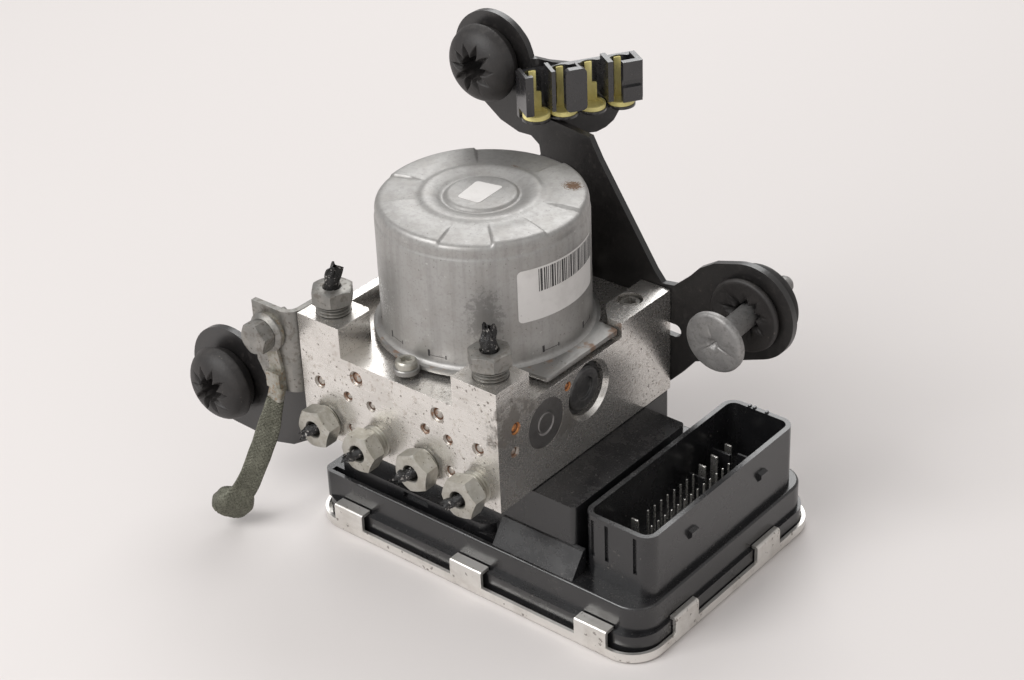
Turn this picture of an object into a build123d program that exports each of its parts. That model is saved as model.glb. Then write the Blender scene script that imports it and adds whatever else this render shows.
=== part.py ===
"""Anti-lock brake modulator: valve block, pump motor, control unit, bracket and fittings.

Origin on the lid's underside, below the motor axis. +Z up, -Y the wheel-port face, +X the plug side.
Millimetres.
"""

import os
from math import atan2, cos, hypot, radians, sin, tan

from build123d import *

# ---- valve block
BLOCK_X = 43.0
BLOCK_FRONT = -47.0
BLOCK_BACK = 45.9
BLOCK_LOW = 43.0
BLOCK_FLOOR = 77.2
TOWER_TOP = 88.4
TOWER_X = 18.6
TOWER_Y = 16.5
REAR_TOWER_X = 30.9
REAR_TOWER_Y = 18.3
REAR_TOWER_TOP = 82.7
WALL_T = 3.7
WALL_TOP = 83.7

# ---- pump motor
MOTOR_R = 35.7
MOTOR_WALL = 1.8
MAGNET_T = 6.2
AIR_GAP = 1.0
FLANGE_R = 38.4
FLANGE_T = 1.8
FLANGE_GAP = 1.5
MOTOR_TOP = 127.0
MOTOR_RING_R = 18.9
MOTOR_BOSS_R = 11.5
SECTOR_LIFT = 0.9
SECTORS = ((16.0, 61.0), (-45.0, 32.0), (-135.0, 62.0), (133.0, 59.0))
EAR_X = 42.1
EAR_Y0 = -20.4
EAR_Y1 = 18.0
SCREW_RING = 41.2
SHAFT_R = 4.0
ECCENTRIC = 0.8
RACE_R = 11.0

# ---- hydraulic parts
PUMP_Z = 66.0
PUMP_BORE_R = 7.4
PUMP_CBORE_R = 9.6
PISTON_R = 4.0
STORE_Y = -22.8
STORE_Z = 65.1
STORE_R = 9.0
PORT_X = (-33.0, -11.0, 11.0, 33.0)
PORT_Z = 49.5
PORT_R = 6.0
PORT_DEPTH = 12.0
MASTER_X = 34.0
MASTER_Y = -38.6
MASTER_DEPTH = 10.5
NUT_AF = 13.0
THREAD_FIT = 0.05
CART_X = (-28.5, -9.5, 9.5, 28.5)
CART_Y = (-20.0, 1.0, 22.0)
CART_R = 4.6
CART_TOP = 51.0
DOME_R = 3.2
DOME_LOW = 24.5
COIL_R = 8.0
COIL_LOW = 23.5
COIL_TOP = 40.5

# ---- control unit
LID_X0 = -49.8
LID_X1 = 95.5
LID_Y0 = -43.3
LID_Y1 = 62.1
LID_T = 1.2
LID_RIM = 3.9
LID_R = 12.5
LID_STEP = 2.7
FLANGE_IN = 1.6
FLANGE_TOP = 9.0
TIER_TOP = 19.0
TIER_IN_X = 1.1
TIER_IN_Y = 2.2
HOUSING_T = 2.0
PED_Y0 = -30.8
LEDGE_Y = -34.6
LEDGE_END = 27.0
RAMP_X = 30.0
PED_TOP = 42.6
PAD_X = 60.2
PAD_Y1 = 31.0
PAD_TOP = 42.7
SHROUD_X0 = 63.2
SHROUD_X1 = 90.5
SHROUD_Y0 = -30.9
SHROUD_Y1 = 53.3
SHROUD_TOP = 43.1
SHROUD_T = 1.8
SHROUD_R = 5.0
SOCKET_FLOOR = 21.0
PIN_W = 0.63
PIN_TIP = 30.9
PIN_PITCH = 3.7

# ---- bracket and mounts
SHEET = 2.5
SHEET_GAP = 0.3
TOP_EYE = (-32.4, 149.1)
RIGHT_EYE = (74.7, 84.6)
LEFT_EYE = (-83.3, 46.4)
TOP_EYE_R = 17.0
RIGHT_EYE_R = 17.4
LEFT_EYE_R = 19.3
EYE_BORE = 10.5
RUBBER_R = 14.5
RUBBER_BORE = 4.2
RUBBER_NOSE = 12.0
RUBBER_TAIL = 8.0
BACK_DISC_R = 12.5
RIGHT_BACK_R = 13.8
ARM_Z0 = 30.0
ARM_Z1 = 55.0
WING_Y = -42.25
BACK_Y = BLOCK_BACK + SHEET_GAP
BACK_MID = BACK_Y + SHEET / 2
SIDE_MID = -BLOCK_X - SHEET_GAP - SHEET / 2

# ---- pipe clip row: start point, heading and height
CLIP_AT = (-7.7, 38.1)
CLIP_YAW = 57.5
CLIP_Z = 133.4
CLIP_TOP = 153.6
CLIP_DEPTH = 10.0
CUPS = (2.1, 11.9, 22.2, 32.8)
CUP_R = 4.75
CUP_D = 4.9
CHANNEL_R = 4.0

# ---- earth connection
ZINC_T = 2.2
ZINC_Z0 = 56.7
ZINC_Z1 = 88.4
ZINC_X0 = -BLOCK_X - 18.8
EARTH_X = -BLOCK_X - 10.7
EARTH_Z = 79.5
LEAF_FRONT = -49.8
LUG_T = 1.4
CRIMP_W = 6.2
CRIMP_T = 3.2
BRAID_W = 8.8
BRAID_T = 2.0
BRAID_YAW = 37.0
STRAP = (
    (-51.9, -52.6, 54.1),
    (-54.5, -55.1, 41.2),
    (-57.3, -59.0, 30.1),
    (-61.0, -62.0, 18.9),
    (-67.9, -62.9, 9.9),
    (-74.7, -62.9, 3.0),
)

MAGNET_IN = MOTOR_R - MOTOR_WALL - 0.1 - MAGNET_T
CORE_R = MAGNET_IN - AIR_GAP
FLANGE_LOW = BLOCK_FLOOR + FLANGE_GAP
FLANGE_HIGH = FLANGE_LOW + FLANGE_T


# ---- shared shapes
def box(x0, x1, y0, y1, z0, z1):
    """A box between two corners."""
    return Pos((x0 + x1) / 2, (y0 + y1) / 2, (z0 + z1) / 2) * Box(x1 - x0, y1 - y0, z1 - z0)


def rod(x, y, z0, z1, r):
    """An upright cylinder."""
    return Pos(x, y, (z0 + z1) / 2) * Cylinder(r, z1 - z0)


def rod_x(x0, x1, y, z, r):
    """A cylinder along X."""
    return Pos((x0 + x1) / 2, y, z) * Rot(0, 90, 0) * Cylinder(r, x1 - x0)


def rod_y(x, y0, y1, z, r):
    """A cylinder along Y."""
    return Pos(x, (y0 + y1) / 2, z) * Rot(90, 0, 0) * Cylinder(r, y1 - y0)


def slab(x0, x1, y0, y1, z0, z1, r):
    """An upright block with rounded corners."""
    plan = Pos((x0 + x1) / 2, (y0 + y1) / 2, z0) * RectangleRounded(x1 - x0, y1 - y0, r)
    return extrude(plan, z1 - z0)


def hexagon(across, height):
    """A hexagonal prism standing on the origin."""
    return extrude(RegularPolygon(across / 2, 6, major_radius=False), height)


def lathe(points):
    """A solid of revolution about Z from (radius, z) points."""
    outline = Polyline(*[(r, 0, z) for r, z in points], close=True)
    return revolve(make_face(outline), Axis.Z)


def cut_corner(block, across):
    """Bevels the corners of a hexagon's free end."""
    height = block.bounding_box().max.Z
    cone = lathe([(0, -1), (across, -1), (across, height - across * 0.25), (across * 0.53, height), (0, height)])
    return block & cone


def bent_sheet(points, radius, z0, z1):
    """An upright sheet whose middle follows a path in plan."""
    path = FilletPolyline(*points, radius=radius)
    return extrude(Pos(0, 0, z0) * trace(path, SHEET), z1 - z0)


def side_cut(points, y0, y1):
    """A prism along Y with an outline in X and Z."""
    face = make_face(Polyline(*[(x, y0, z) for x, z in points], close=True))
    return extrude(face, y1 - y0, dir=(0, 1, 0))


def group(solids):
    """Separate solids kept together as one piece."""
    return Compound(children=list(solids))


def coil(length, radius, wire, turns):
    """A square-wire spring standing on the origin, wire centre to wire centre."""
    path = Helix(pitch=length / turns, height=length, radius=radius)
    start = Plane(origin=path @ 0, x_dir=(1, 0, 0), z_dir=path % 0)
    return sweep(start * Rectangle(2 * wire, 2 * wire), path=path, is_frenet=True)


def save(name, shape):
    """Writes one piece."""
    if isinstance(shape, (list, tuple)):
        shape = group(shape)
    export_step(shape, f"parts/{name}.step")


# ---- valve block
def block_body():
    """The machined body with its towers and walls."""
    body = box(-BLOCK_X, BLOCK_X, BLOCK_FRONT, BLOCK_BACK, BLOCK_LOW, BLOCK_FLOOR)
    for side in (-1, 1):
        inner = side * (BLOCK_X - TOWER_X)
        outer = side * BLOCK_X
        x0, x1 = min(inner, outer), max(inner, outer)
        tower = box(x0, x1, BLOCK_FRONT, BLOCK_FRONT + TOWER_Y, BLOCK_FLOOR - 1, TOWER_TOP)
        body += tower
    rear = [
        (REAR_TOWER_X, BLOCK_BACK),
        (BLOCK_X, BLOCK_BACK),
        (BLOCK_X, REAR_TOWER_Y),
        (BLOCK_X - 5.9, REAR_TOWER_Y),
        (REAR_TOWER_X + 1.1, REAR_TOWER_Y + 5.4),
        (REAR_TOWER_X, REAR_TOWER_Y + 7.0),
    ]
    plan = make_face(Polyline(*[(x, y, BLOCK_FLOOR - 1) for x, y in rear], close=True))
    body += extrude(plan, REAR_TOWER_TOP - BLOCK_FLOOR + 1)
    body += box(-BLOCK_X, -BLOCK_X + WALL_T, -24.7, 39.0, BLOCK_FLOOR - 1, WALL_TOP)
    return body


def motor_seat(body):
    """Room for the motor can and the raised ring it sits on."""
    body -= rod(0, 0, BLOCK_FLOOR, TOWER_TOP + 1, MOTOR_R + 4.3)
    ring = rod(0, 0, BLOCK_FLOOR - 1, FLANGE_LOW, MOTOR_R - 3.0)
    return body + ring


def motor_bores(body):
    """The stepped bore for the motor nose, the eccentric and the tail bearing."""
    body -= rod(0, 0, 74.0, FLANGE_LOW + 1, 14.0)
    body -= rod(0, 0, 55.5, 75.0, RACE_R + ECCENTRIC + 1.0)
    body -= rod(0, 0, 53.5, 56.0, 7.0)
    return body


def pump_bores(body):
    """The two pump bores, stepped for their plugs."""
    for side in (-1, 1):
        for reach, radius in ((8.0, PUMP_BORE_R), (BLOCK_X - 5.0, PUMP_CBORE_R)):
            x0, x1 = sorted((side * reach, side * (BLOCK_X + 1)))
            body -= rod_x(x0, x1, 0, PUMP_Z, radius)
        mouth = lathe([
            (0, BLOCK_X - 1.5), (PUMP_CBORE_R, BLOCK_X - 1.5), (PUMP_CBORE_R + 1.3, BLOCK_X), (PUMP_CBORE_R + 1.3, BLOCK_X + 1),
            (0, BLOCK_X + 1)])
        body -= Pos(0, 0, PUMP_Z) * Rot(0, 90 * side, 0) * mouth
    return body


def store_bores(body):
    """The low-pressure accumulator bores in both sides."""
    for side in (-1, 1):
        x0, x1 = sorted((side * 20.0, side * (BLOCK_X + 1)))
        body -= rod_x(x0, x1, STORE_Y, STORE_Z, STORE_R)
    return body


def port_bores(body):
    """Wheel ports in the front and master ports in the towers."""
    for x in PORT_X:
        body -= rod_y(x, BLOCK_FRONT - 1, BLOCK_FRONT + PORT_DEPTH, PORT_Z, PORT_R + THREAD_FIT)
        body -= rod_y(x, BLOCK_FRONT + PORT_DEPTH - 1, BLOCK_FRONT + PORT_DEPTH + 4, PORT_Z, 1.6)
    for x in (-MASTER_X, MASTER_X):
        body -= rod(x, MASTER_Y, TOWER_TOP - MASTER_DEPTH, TOWER_TOP + 1, PORT_R + THREAD_FIT)
        body -= rod(x, MASTER_Y, TOWER_TOP - MASTER_DEPTH - 4, TOWER_TOP, 1.6)
    return body


def valve_bores(body):
    """Twelve valve seats in the underside."""
    for x in CART_X:
        for y in CART_Y:
            body -= rod(x, y, BLOCK_LOW - 1, CART_TOP + 0.5, CART_R + THREAD_FIT)
    return body


FRONT_BALLS = (
    (-35.2, 64.0, 2.4),
    (-22.4, 62.9, 2.0),
    (-22.3, 50.0, 2.0),
    (-17.9, 71.6, 2.8),
    (-12.0, 62.9, 2.0),
    (11.9, 63.6, 2.0),
    (17.6, 71.2, 2.8),
    (21.7, 63.1, 2.0),
    (21.7, 50.6, 2.4),
    (34.4, 64.4, 2.4),
)
SIDE_BALLS = ((-37.9, 71.0, 2.3), (-11.0, 73.0, 1.7), (-38.8, 62.5, 2.0))
BALL_SINK = 0.5
BALL_DEPTH = 4.0


def ball_holes(body):
    """Drilled passages closed by pressed plugs."""
    for x, z, r in FRONT_BALLS:
        body -= rod_y(x, BLOCK_FRONT - 1, BLOCK_FRONT + BALL_SINK + BALL_DEPTH, z, r + 0.02)
    for y, z, r in SIDE_BALLS:
        body -= rod_x(BLOCK_X - BALL_SINK - BALL_DEPTH, BLOCK_X + 1, y, z, r + 0.02)
    return body


ECU_SCREWS = ((35.7, 32.7, REAR_TOWER_TOP), (-34.5, 38.5, BLOCK_FLOOR))
MOTOR_SCREWS = tuple((SCREW_RING * cos(radians(a)), SCREW_RING * sin(radians(a))) for a in (-90, 80, 125))
BRACKET_SCREWS = ((-27.0, 62.0), (12.0, 68.0), (32.0, 58.0))
SIDE_SCREW = (-39.0, 73.6)


def screw_holes(body):
    """Threaded and clearance holes for every screw."""
    for x, y, top in ECU_SCREWS:
        body -= rod(x, y, BLOCK_LOW - 1, top + 1, 2.6)
        body -= rod(x, y, top - 3.6, top + 1, 4.45)
    for x, y in MOTOR_SCREWS:
        body -= rod(x, y, BLOCK_FLOOR - 9.5, BLOCK_FLOOR + 1, 2.0 + THREAD_FIT)
    for x, z in BRACKET_SCREWS:
        body -= rod_y(x, BLOCK_BACK - 9.0, BLOCK_BACK + 1, z, 2.5 + THREAD_FIT)
    y, z = SIDE_SCREW
    body -= rod_x(-BLOCK_X - 1, -BLOCK_X + 7.0, y, z, 2.0 + THREAD_FIT)
    return body


def valve_block():
    """The aluminium valve block."""
    body = motor_seat(block_body())
    for step in (motor_bores, pump_bores, store_bores, port_bores, valve_bores, ball_holes, screw_holes):
        body = step(body)
    return body


def ball_plug(r):
    """A pressed plug with a small dimple, standing on the origin."""
    return lathe([(0, 0), (r, 0), (r, BALL_DEPTH), (r * 0.45, BALL_DEPTH), (r * 0.2, BALL_DEPTH - r * 0.3),
                  (0, BALL_DEPTH - r * 0.3)])


def ball_plugs():
    """Plugs in the front face."""
    out = []
    for x, z, r in FRONT_BALLS:
        seat = Pos(x, BLOCK_FRONT + BALL_SINK + BALL_DEPTH, z) * Rot(90, 0, 0)
        out.append(seat * ball_plug(r))
    return out


def side_plugs():
    """Plugs in the right side."""
    out = []
    for y, z, r in SIDE_BALLS:
        seat = Pos(BLOCK_X - BALL_SINK - BALL_DEPTH, y, z) * Rot(0, 90, 0)
        out.append(seat * ball_plug(r))
    return out


# ---- pump motor
def flange_plan():
    """The can's base flange with its ears."""
    plan = Pos(0, 0, FLANGE_LOW) * Circle(FLANGE_R)
    ear = Pos((20 + EAR_X) / 2, (EAR_Y0 + EAR_Y1) / 2, FLANGE_LOW) * RectangleRounded(
        EAR_X - 20, EAR_Y1 - EAR_Y0, 3.0)
    plan += ear
    for x, y in MOTOR_SCREWS:
        plan += Pos(x, y, FLANGE_LOW) * Circle(4.4)
    return plan


def can_top():
    """The can's outer outline from its rim to the crimped bearing seat, as (radius, z)."""
    z = MOTOR_TOP
    return [
        (MOTOR_R, z - 6.6), (MOTOR_R - 0.6, z - 5.8), (MOTOR_R - 0.5, z - 4.6), (MOTOR_R - 1.0, z - 3.4),
        (MOTOR_R - 2.5, z - 2.4), (31.0, z - 1.9), (27.0, z - 1.1), (21.0, z - 0.4), (MOTOR_RING_R, z),
        (14.5, z - 0.7), (12.9, z - 1.3), (MOTOR_BOSS_R, z - 0.4), (0, z - 0.4)]


def raised_sectors():
    """Four stretches of the can's end pressed slightly higher than the rest."""
    z = MOTOR_TOP
    lift = SECTOR_LIFT
    face = make_face(Polyline(
        (21.4, 0, z - 1.5), (22.4, 0, z - 0.6 + lift * 0.6), (27.0, 0, z - 1.1 + lift), (31.0, 0, z - 1.9 + lift),
        (33.4, 0, z - 2.7 + lift), (34.0, 0, z - 3.6), (31.0, 0, z - 3.2), close=True))
    return [revolve(Rot(0, 0, start) * face, Axis.Z, span) for start, span in SECTORS]


def motor_can():
    """The drawn steel can with its flange."""
    shell = lathe([(0, FLANGE_LOW), (MOTOR_R, FLANGE_LOW)] + can_top())
    for pad in raised_sectors():
        shell += pad
    shell += extrude(flange_plan(), FLANGE_T)
    inner = MOTOR_R - MOTOR_WALL
    hollow = lathe([
        (0, FLANGE_LOW - 1), (inner, FLANGE_LOW - 1), (inner, MOTOR_TOP - 7.5), (inner - 3.0, MOTOR_TOP - 4.7),
        (12.0, MOTOR_TOP - 4.4), (12.0, MOTOR_TOP - 3.6), (0, MOTOR_TOP - 3.6)])
    shell -= hollow
    for x, y in MOTOR_SCREWS:
        shell -= rod(x, y, FLANGE_LOW - 1, FLANGE_HIGH + 1, 2.2)
    return shell


def motor_screws():
    """Pan-head screws through the flange ears."""
    out = []
    for x, y in MOTOR_SCREWS:
        head = rod(x, y, FLANGE_HIGH, FLANGE_HIGH + 2.6, 3.7)
        head -= Pos(x, y, FLANGE_HIGH + 1.2) * hexagon(3.4, 2.0)
        out.append(head + rod(x, y, BLOCK_FLOOR - 8.5, FLANGE_HIGH, 2.0))
    return out


def end_plate():
    """The plate closing the can on the block side."""
    plate = lathe([
        (12.0, 75.2), (13.7, 75.2), (13.7, FLANGE_LOW), (MOTOR_R - 3.2, FLANGE_LOW),
        (MOTOR_R - 3.2, FLANGE_LOW + 0.1), (MOTOR_R - MOTOR_WALL - 0.1, FLANGE_LOW + 0.1),
        (MOTOR_R - MOTOR_WALL - 0.1, FLANGE_LOW + 2.0), (9.6, FLANGE_LOW + 2.0), (9.6, 76.4), (12.0, 76.4)])
    return plate


def bearing_ring(z0, z1, r_out, r_in):
    """A plain ring about the motor axis."""
    return rod(0, 0, z0, z1, r_out) - rod(0, 0, z0 - 1, z1 + 1, r_in)


def magnets():
    """Four arc magnets inside the can."""
    out = []
    ring = bearing_ring(93.0, 117.0, MOTOR_R - MOTOR_WALL - 0.1, MAGNET_IN)
    for quarter in range(4):
        wedge = Rot(0, 0, 90 * quarter) * box(4.0, 40.0, 4.0, 40.0, 90.0, 120.0)
        out.append(ring & wedge)
    return out


def brush_holder():
    """The moulded ring carrying the brushes."""
    ring = bearing_ring(FLANGE_LOW + 2.1, FLANGE_LOW + 9.5, MOTOR_R - 4.7, 12.5)
    for turn in (0, 90):
        ring -= Rot(0, 0, turn) * box(-MOTOR_R, MOTOR_R, -3.1, 3.1, FLANGE_LOW + 3.6, FLANGE_LOW + 10.0)
    return ring


def brushes():
    """Two carbon brushes riding the commutator."""
    out = []
    for side in (-1, 1):
        x0, x1 = sorted((side * 9.3, side * 22.0))
        out.append(box(x0, x1, -2.9, 2.9, FLANGE_LOW + 3.8, FLANGE_LOW + 8.6))
    return out


def rotor_shaft():
    """The shaft from the tail bearing to the can."""
    return lathe([
        (0, 54.5), (2.9, 54.5), (2.9, 58.0), (SHAFT_R, 58.0), (SHAFT_R, 116.5), (2.9, 117.0),
        (2.9, 122.0), (0, 122.0)])


def armature_core():
    """The slotted lamination stack."""
    core = bearing_ring(95.0, 115.0, CORE_R, SHAFT_R)
    for k in range(10):
        slot = box(16.0, CORE_R - 2.0, -2.1, 2.1, 94.0, 116.0) + box(CORE_R - 2.6, CORE_R + 0.9, -0.9, 0.9, 94.0, 116.0)
        core -= Rot(0, 0, 36 * k) * slot
    return core


def windings():
    """The copper filling the slots with its end turns."""
    wound = bearing_ring(91.5, 94.7, CORE_R - 2.6, 8.6)
    wound += bearing_ring(115.3, 117.4, CORE_R - 2.6, 8.6)
    for k in range(10):
        wound += Rot(0, 0, 36 * k) * box(16.3, CORE_R - 3.1, -1.8, 1.8, 94.0, 116.0)
    return wound


def commutator():
    """The segmented copper drum."""
    drum = bearing_ring(81.6, 90.6, 9.1, SHAFT_R)
    for k in range(12):
        drum -= Rot(0, 0, 30 * k) * box(8.3, 10.0, -0.25, 0.25, 81.0, 91.0)
    return drum


def eccentric():
    """The off-centre cam on the shaft."""
    cam = rod(0, ECCENTRIC, 59.5, 72.5, 7.0)
    return cam - rod(0, 0, 59.0, 73.0, SHAFT_R)


def race():
    """The needle bearing's outer race on the cam."""
    ring = rod(0, ECCENTRIC, 60.0, 72.0, RACE_R) - rod(0, ECCENTRIC, 59.0, 73.0, 7.0)
    return ring


# ---- pump and accumulator parts
PISTON_IN = RACE_R + ECCENTRIC + 0.1
PISTON_OUT = PISTON_IN + 13.0
SPRING_OUT = 33.5


def pump_piston(side):
    """A stepped pump piston; side is -1 or 1."""
    x0, x1 = sorted((side * PISTON_IN, side * PISTON_OUT))
    body = rod_x(x0, x1, 0, PUMP_Z, PISTON_R)
    x0, x1 = sorted((side * PISTON_OUT, side * (PISTON_OUT + 1.6)))
    return body + rod_x(x0, x1, 0, PUMP_Z, 2.0)


def pump_spring(side):
    """The return spring between piston and plug."""
    wire = 0.45
    length = SPRING_OUT - PISTON_OUT - 2 * wire
    turn = Rot(0, 90 * side, 0)
    return Pos(side * (PISTON_OUT + wire), 0, PUMP_Z) * turn * coil(length, 3.1, wire, 3)


def pump_sleeve(side):
    """The sleeve the piston runs in."""
    x0, x1 = sorted((side * (RACE_R + ECCENTRIC + 2.4), side * (SPRING_OUT + 0.6)))
    tube = rod_x(x0, x1, 0, PUMP_Z, PUMP_BORE_R - 0.05)
    x2, x3 = sorted((side * 10.0, side * (PISTON_OUT + 0.2)))
    tube -= rod_x(x2, x3, 0, PUMP_Z, PISTON_R + 0.03)
    x4, x5 = sorted((side * (PISTON_OUT - 1.0), side * 40.0))
    return tube - rod_x(x4, x5, 0, PUMP_Z, PISTON_R + 0.3)


def pump_plug(side):
    """The screwed plug closing a pump bore."""
    low = SPRING_OUT + 0.05
    turn = Pos(0, 0, PUMP_Z) * Rot(0, 90 * side, 0)
    plug = lathe([
        (0, low), (PISTON_R + 0.2, low), (PISTON_R + 0.2, low + 0.65), (PUMP_BORE_R - 0.05, low + 0.65),
        (PUMP_BORE_R - 0.05, BLOCK_X - 4.9), (PUMP_CBORE_R - 0.05, BLOCK_X - 4.9),
        (PUMP_CBORE_R - 0.05, BLOCK_X - 3.4), (7.9, BLOCK_X - 3.4), (7.9, BLOCK_X - 2.2),
        (7.0, BLOCK_X - 1.6), (4.2, BLOCK_X - 1.6), (4.2, BLOCK_X - 2.6), (0, BLOCK_X - 2.6)])
    return turn * plug


def store_piston(side):
    """An accumulator piston with its seal groove."""
    turn = Pos(0, STORE_Y, STORE_Z) * Rot(0, 90 * side, 0)
    body = lathe([
        (0, 20.6), (8.9, 20.6), (8.9, 22.6), (7.6, 22.6), (7.6, 24.6), (8.9, 24.6), (8.9, 30.2),
        (6.6, 30.2), (6.6, 24.0), (0, 24.0)])
    return turn * body


def store_seal(side):
    """The ring in the accumulator piston's groove."""
    turn = Pos(0, STORE_Y, STORE_Z) * Rot(0, 90 * side, 0)
    return turn * lathe([(7.65, 22.7), (8.92, 22.7), (8.92, 24.5), (7.65, 24.5)])


def store_spring(side):
    """The spring behind an accumulator piston."""
    wire = 0.6
    turn = Pos(side * (24.05 + wire), STORE_Y, STORE_Z) * Rot(0, 90 * side, 0)
    return turn * coil(40.75 - 24.05 - 2 * wire, 5.4, wire, 3)


def store_cap(side):
    """The pressed cap closing an accumulator."""
    turn = Pos(0, STORE_Y, STORE_Z) * Rot(0, 90 * side, 0)
    cap = lathe([
        (0, 40.8), (8.95, 40.8), (8.95, BLOCK_X - 0.1), (4.4, BLOCK_X - 0.1), (4.0, BLOCK_X - 0.5),
        (3.5, BLOCK_X - 0.5), (3.5, BLOCK_X - 0.1), (0, BLOCK_X - 0.1)])
    return turn * cap


def cartridges():
    """Twelve valve cartridges with their domes."""
    out = []
    for x in CART_X:
        for y in CART_Y:
            body = lathe([
                (0, DOME_LOW), (DOME_R, DOME_LOW), (DOME_R, BLOCK_LOW - 0.9), (CART_R, BLOCK_LOW - 0.9),
                (CART_R, CART_TOP), (0, CART_TOP)])
            out.append(Pos(x, y, 0) * body)
    return out


def coils():
    """Twelve solenoid coils on the domes."""
    out = []
    for x in CART_X:
        for y in CART_Y:
            body = lathe([
                (DOME_R + 0.3, COIL_LOW), (COIL_R, COIL_LOW), (COIL_R, COIL_TOP), (DOME_R + 0.3, COIL_TOP)])
            out.append(Pos(x, y, 0) * body)
    return out


# ---- pipe fittings
WHEEL_FRONT = (-54.5, -56.5, -54.5, -56.5)
WHEEL_TURN = (12.0, 3.0, 22.0, 9.0)
MASTER_HEX = 92.3
MASTER_END = 97.8
HEX_LONG = 6.2


def wheel_nuts():
    """Four pipe nuts in the wheel ports."""
    out = []
    for x, front, turn in zip(PORT_X, WHEEL_FRONT, WHEEL_TURN):
        stem = rod_y(x, front + 1.0, BLOCK_FRONT + PORT_DEPTH - 1.5, PORT_Z, PORT_R)
        head = cut_corner(hexagon(NUT_AF, HEX_LONG), NUT_AF)
        seat = Pos(x, front + HEX_LONG, PORT_Z) * Rot(90, 0, 0) * Rot(0, 0, turn)
        nut = stem + seat * head
        nut -= rod_y(x, front - 1, BLOCK_FRONT + PORT_DEPTH, PORT_Z, 2.6)
        out.append(nut - rod_y(x, front - 1, front + 3.0, PORT_Z, 3.6))
    return out


def master_nuts():
    """Two pipe nuts on the towers."""
    out = []
    for x, turn in ((-MASTER_X, 8.0), (MASTER_X, 20.0)):
        stem = rod(x, MASTER_Y, TOWER_TOP - MASTER_DEPTH + 1.5, MASTER_HEX + 1, PORT_R)
        head = Pos(x, MASTER_Y, MASTER_HEX) * Rot(0, 0, turn) * cut_corner(
            hexagon(NUT_AF, MASTER_END - MASTER_HEX), NUT_AF)
        out.append(stem + head - rod(x, MASTER_Y, TOWER_TOP - MASTER_DEPTH, MASTER_END + 1, 2.6))
    return out


def wheel_pipes():
    """Cut pipe ends left in the wheel nuts."""
    out = []
    for x, front in zip(PORT_X, WHEEL_FRONT):
        straight = rod_y(x, front + 0.5, BLOCK_FRONT + PORT_DEPTH - 0.2, PORT_Z, 2.4)
        torn = Pos(x, front + 1.0, PORT_Z) * Rot(104, -28, 0) * Cylinder(
            1.3, 5.6, align=(Align.CENTER, Align.CENTER, Align.MIN))
        out.append(straight + torn)
    return out


def master_pipes():
    """Torn pipe ends left in the master nuts."""
    out = []
    for x, lean in ((-MASTER_X, 6.0), (MASTER_X, -7.0)):
        straight = rod(x, MASTER_Y, TOWER_TOP - MASTER_DEPTH + 0.2, MASTER_END + 2.0, 2.4)
        torn = Pos(x, MASTER_Y, MASTER_END + 0.5) * Rot(0, lean, 0) * Cone(
            3.4, 2.3, 7.2, align=(Align.CENTER, Align.CENTER, Align.MIN))
        out.append(straight + torn)
    return out


# ---- control unit
FRONT_TABS = ((-37.8, -24.9), (15.5, 29.2), (68.7, 81.6))
SIDE_TABS = ((-23.8, -10.9), (23.5, 37.2))


def lid_pan():
    """The pan without its tabs."""
    pan = slab(LID_X0, LID_X1, LID_Y0, LID_Y1, 0, LID_RIM, LID_R)
    pan = fillet(pan.faces().sort_by(Axis.Z)[0].outer_wire().edges(), 1.1)
    inner = slab(LID_X0 + LID_T, LID_X1 - LID_T, LID_Y0 + LID_T, LID_Y1 - LID_T, LID_T, LID_RIM + 1,
                 LID_R - LID_T)
    return pan - inner


def lid_tab(a, b, at, side, reach):
    """A tab along X bent over the flange; side is -1 at the front and 1 at the back."""
    top = FLANGE_TOP + 0.1
    y0, y1 = sorted((at, at - side * LID_T))
    wall = box(a, b, y0, y1, LID_RIM - 1.5, top + LID_T)
    y2, y3 = sorted((at, at - side * reach))
    hook = box(a, b, y2, y3, top, top + LID_T)
    tab = wall + hook
    edge = tab.edges().filter_by(Axis.X).sort_by(Axis.Z)[-2:]
    outer = edge.sort_by(lambda e: -side * e.center().Y)[0]
    return fillet([outer], 1.0)


def ecu_lid():
    """The aluminium lid with its bent tabs."""
    lid = lid_pan()
    for a, b in FRONT_TABS:
        lid += lid_tab(a, b, LID_Y0, -1, LID_STEP + TIER_IN_Y - 0.5)
        lid += lid_tab(a, b, LID_Y1, 1, FLANGE_IN + TIER_IN_X - 0.3)
    for a, b in SIDE_TABS:
        lid += Rot(0, 0, 90) * lid_tab(a, b, -LID_X1, -1, FLANGE_IN + TIER_IN_X - 0.3)
        lid += Rot(0, 0, 90) * lid_tab(a, b, -LID_X0, 1, FLANGE_IN + TIER_IN_X - 0.3)
    return lid


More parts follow.
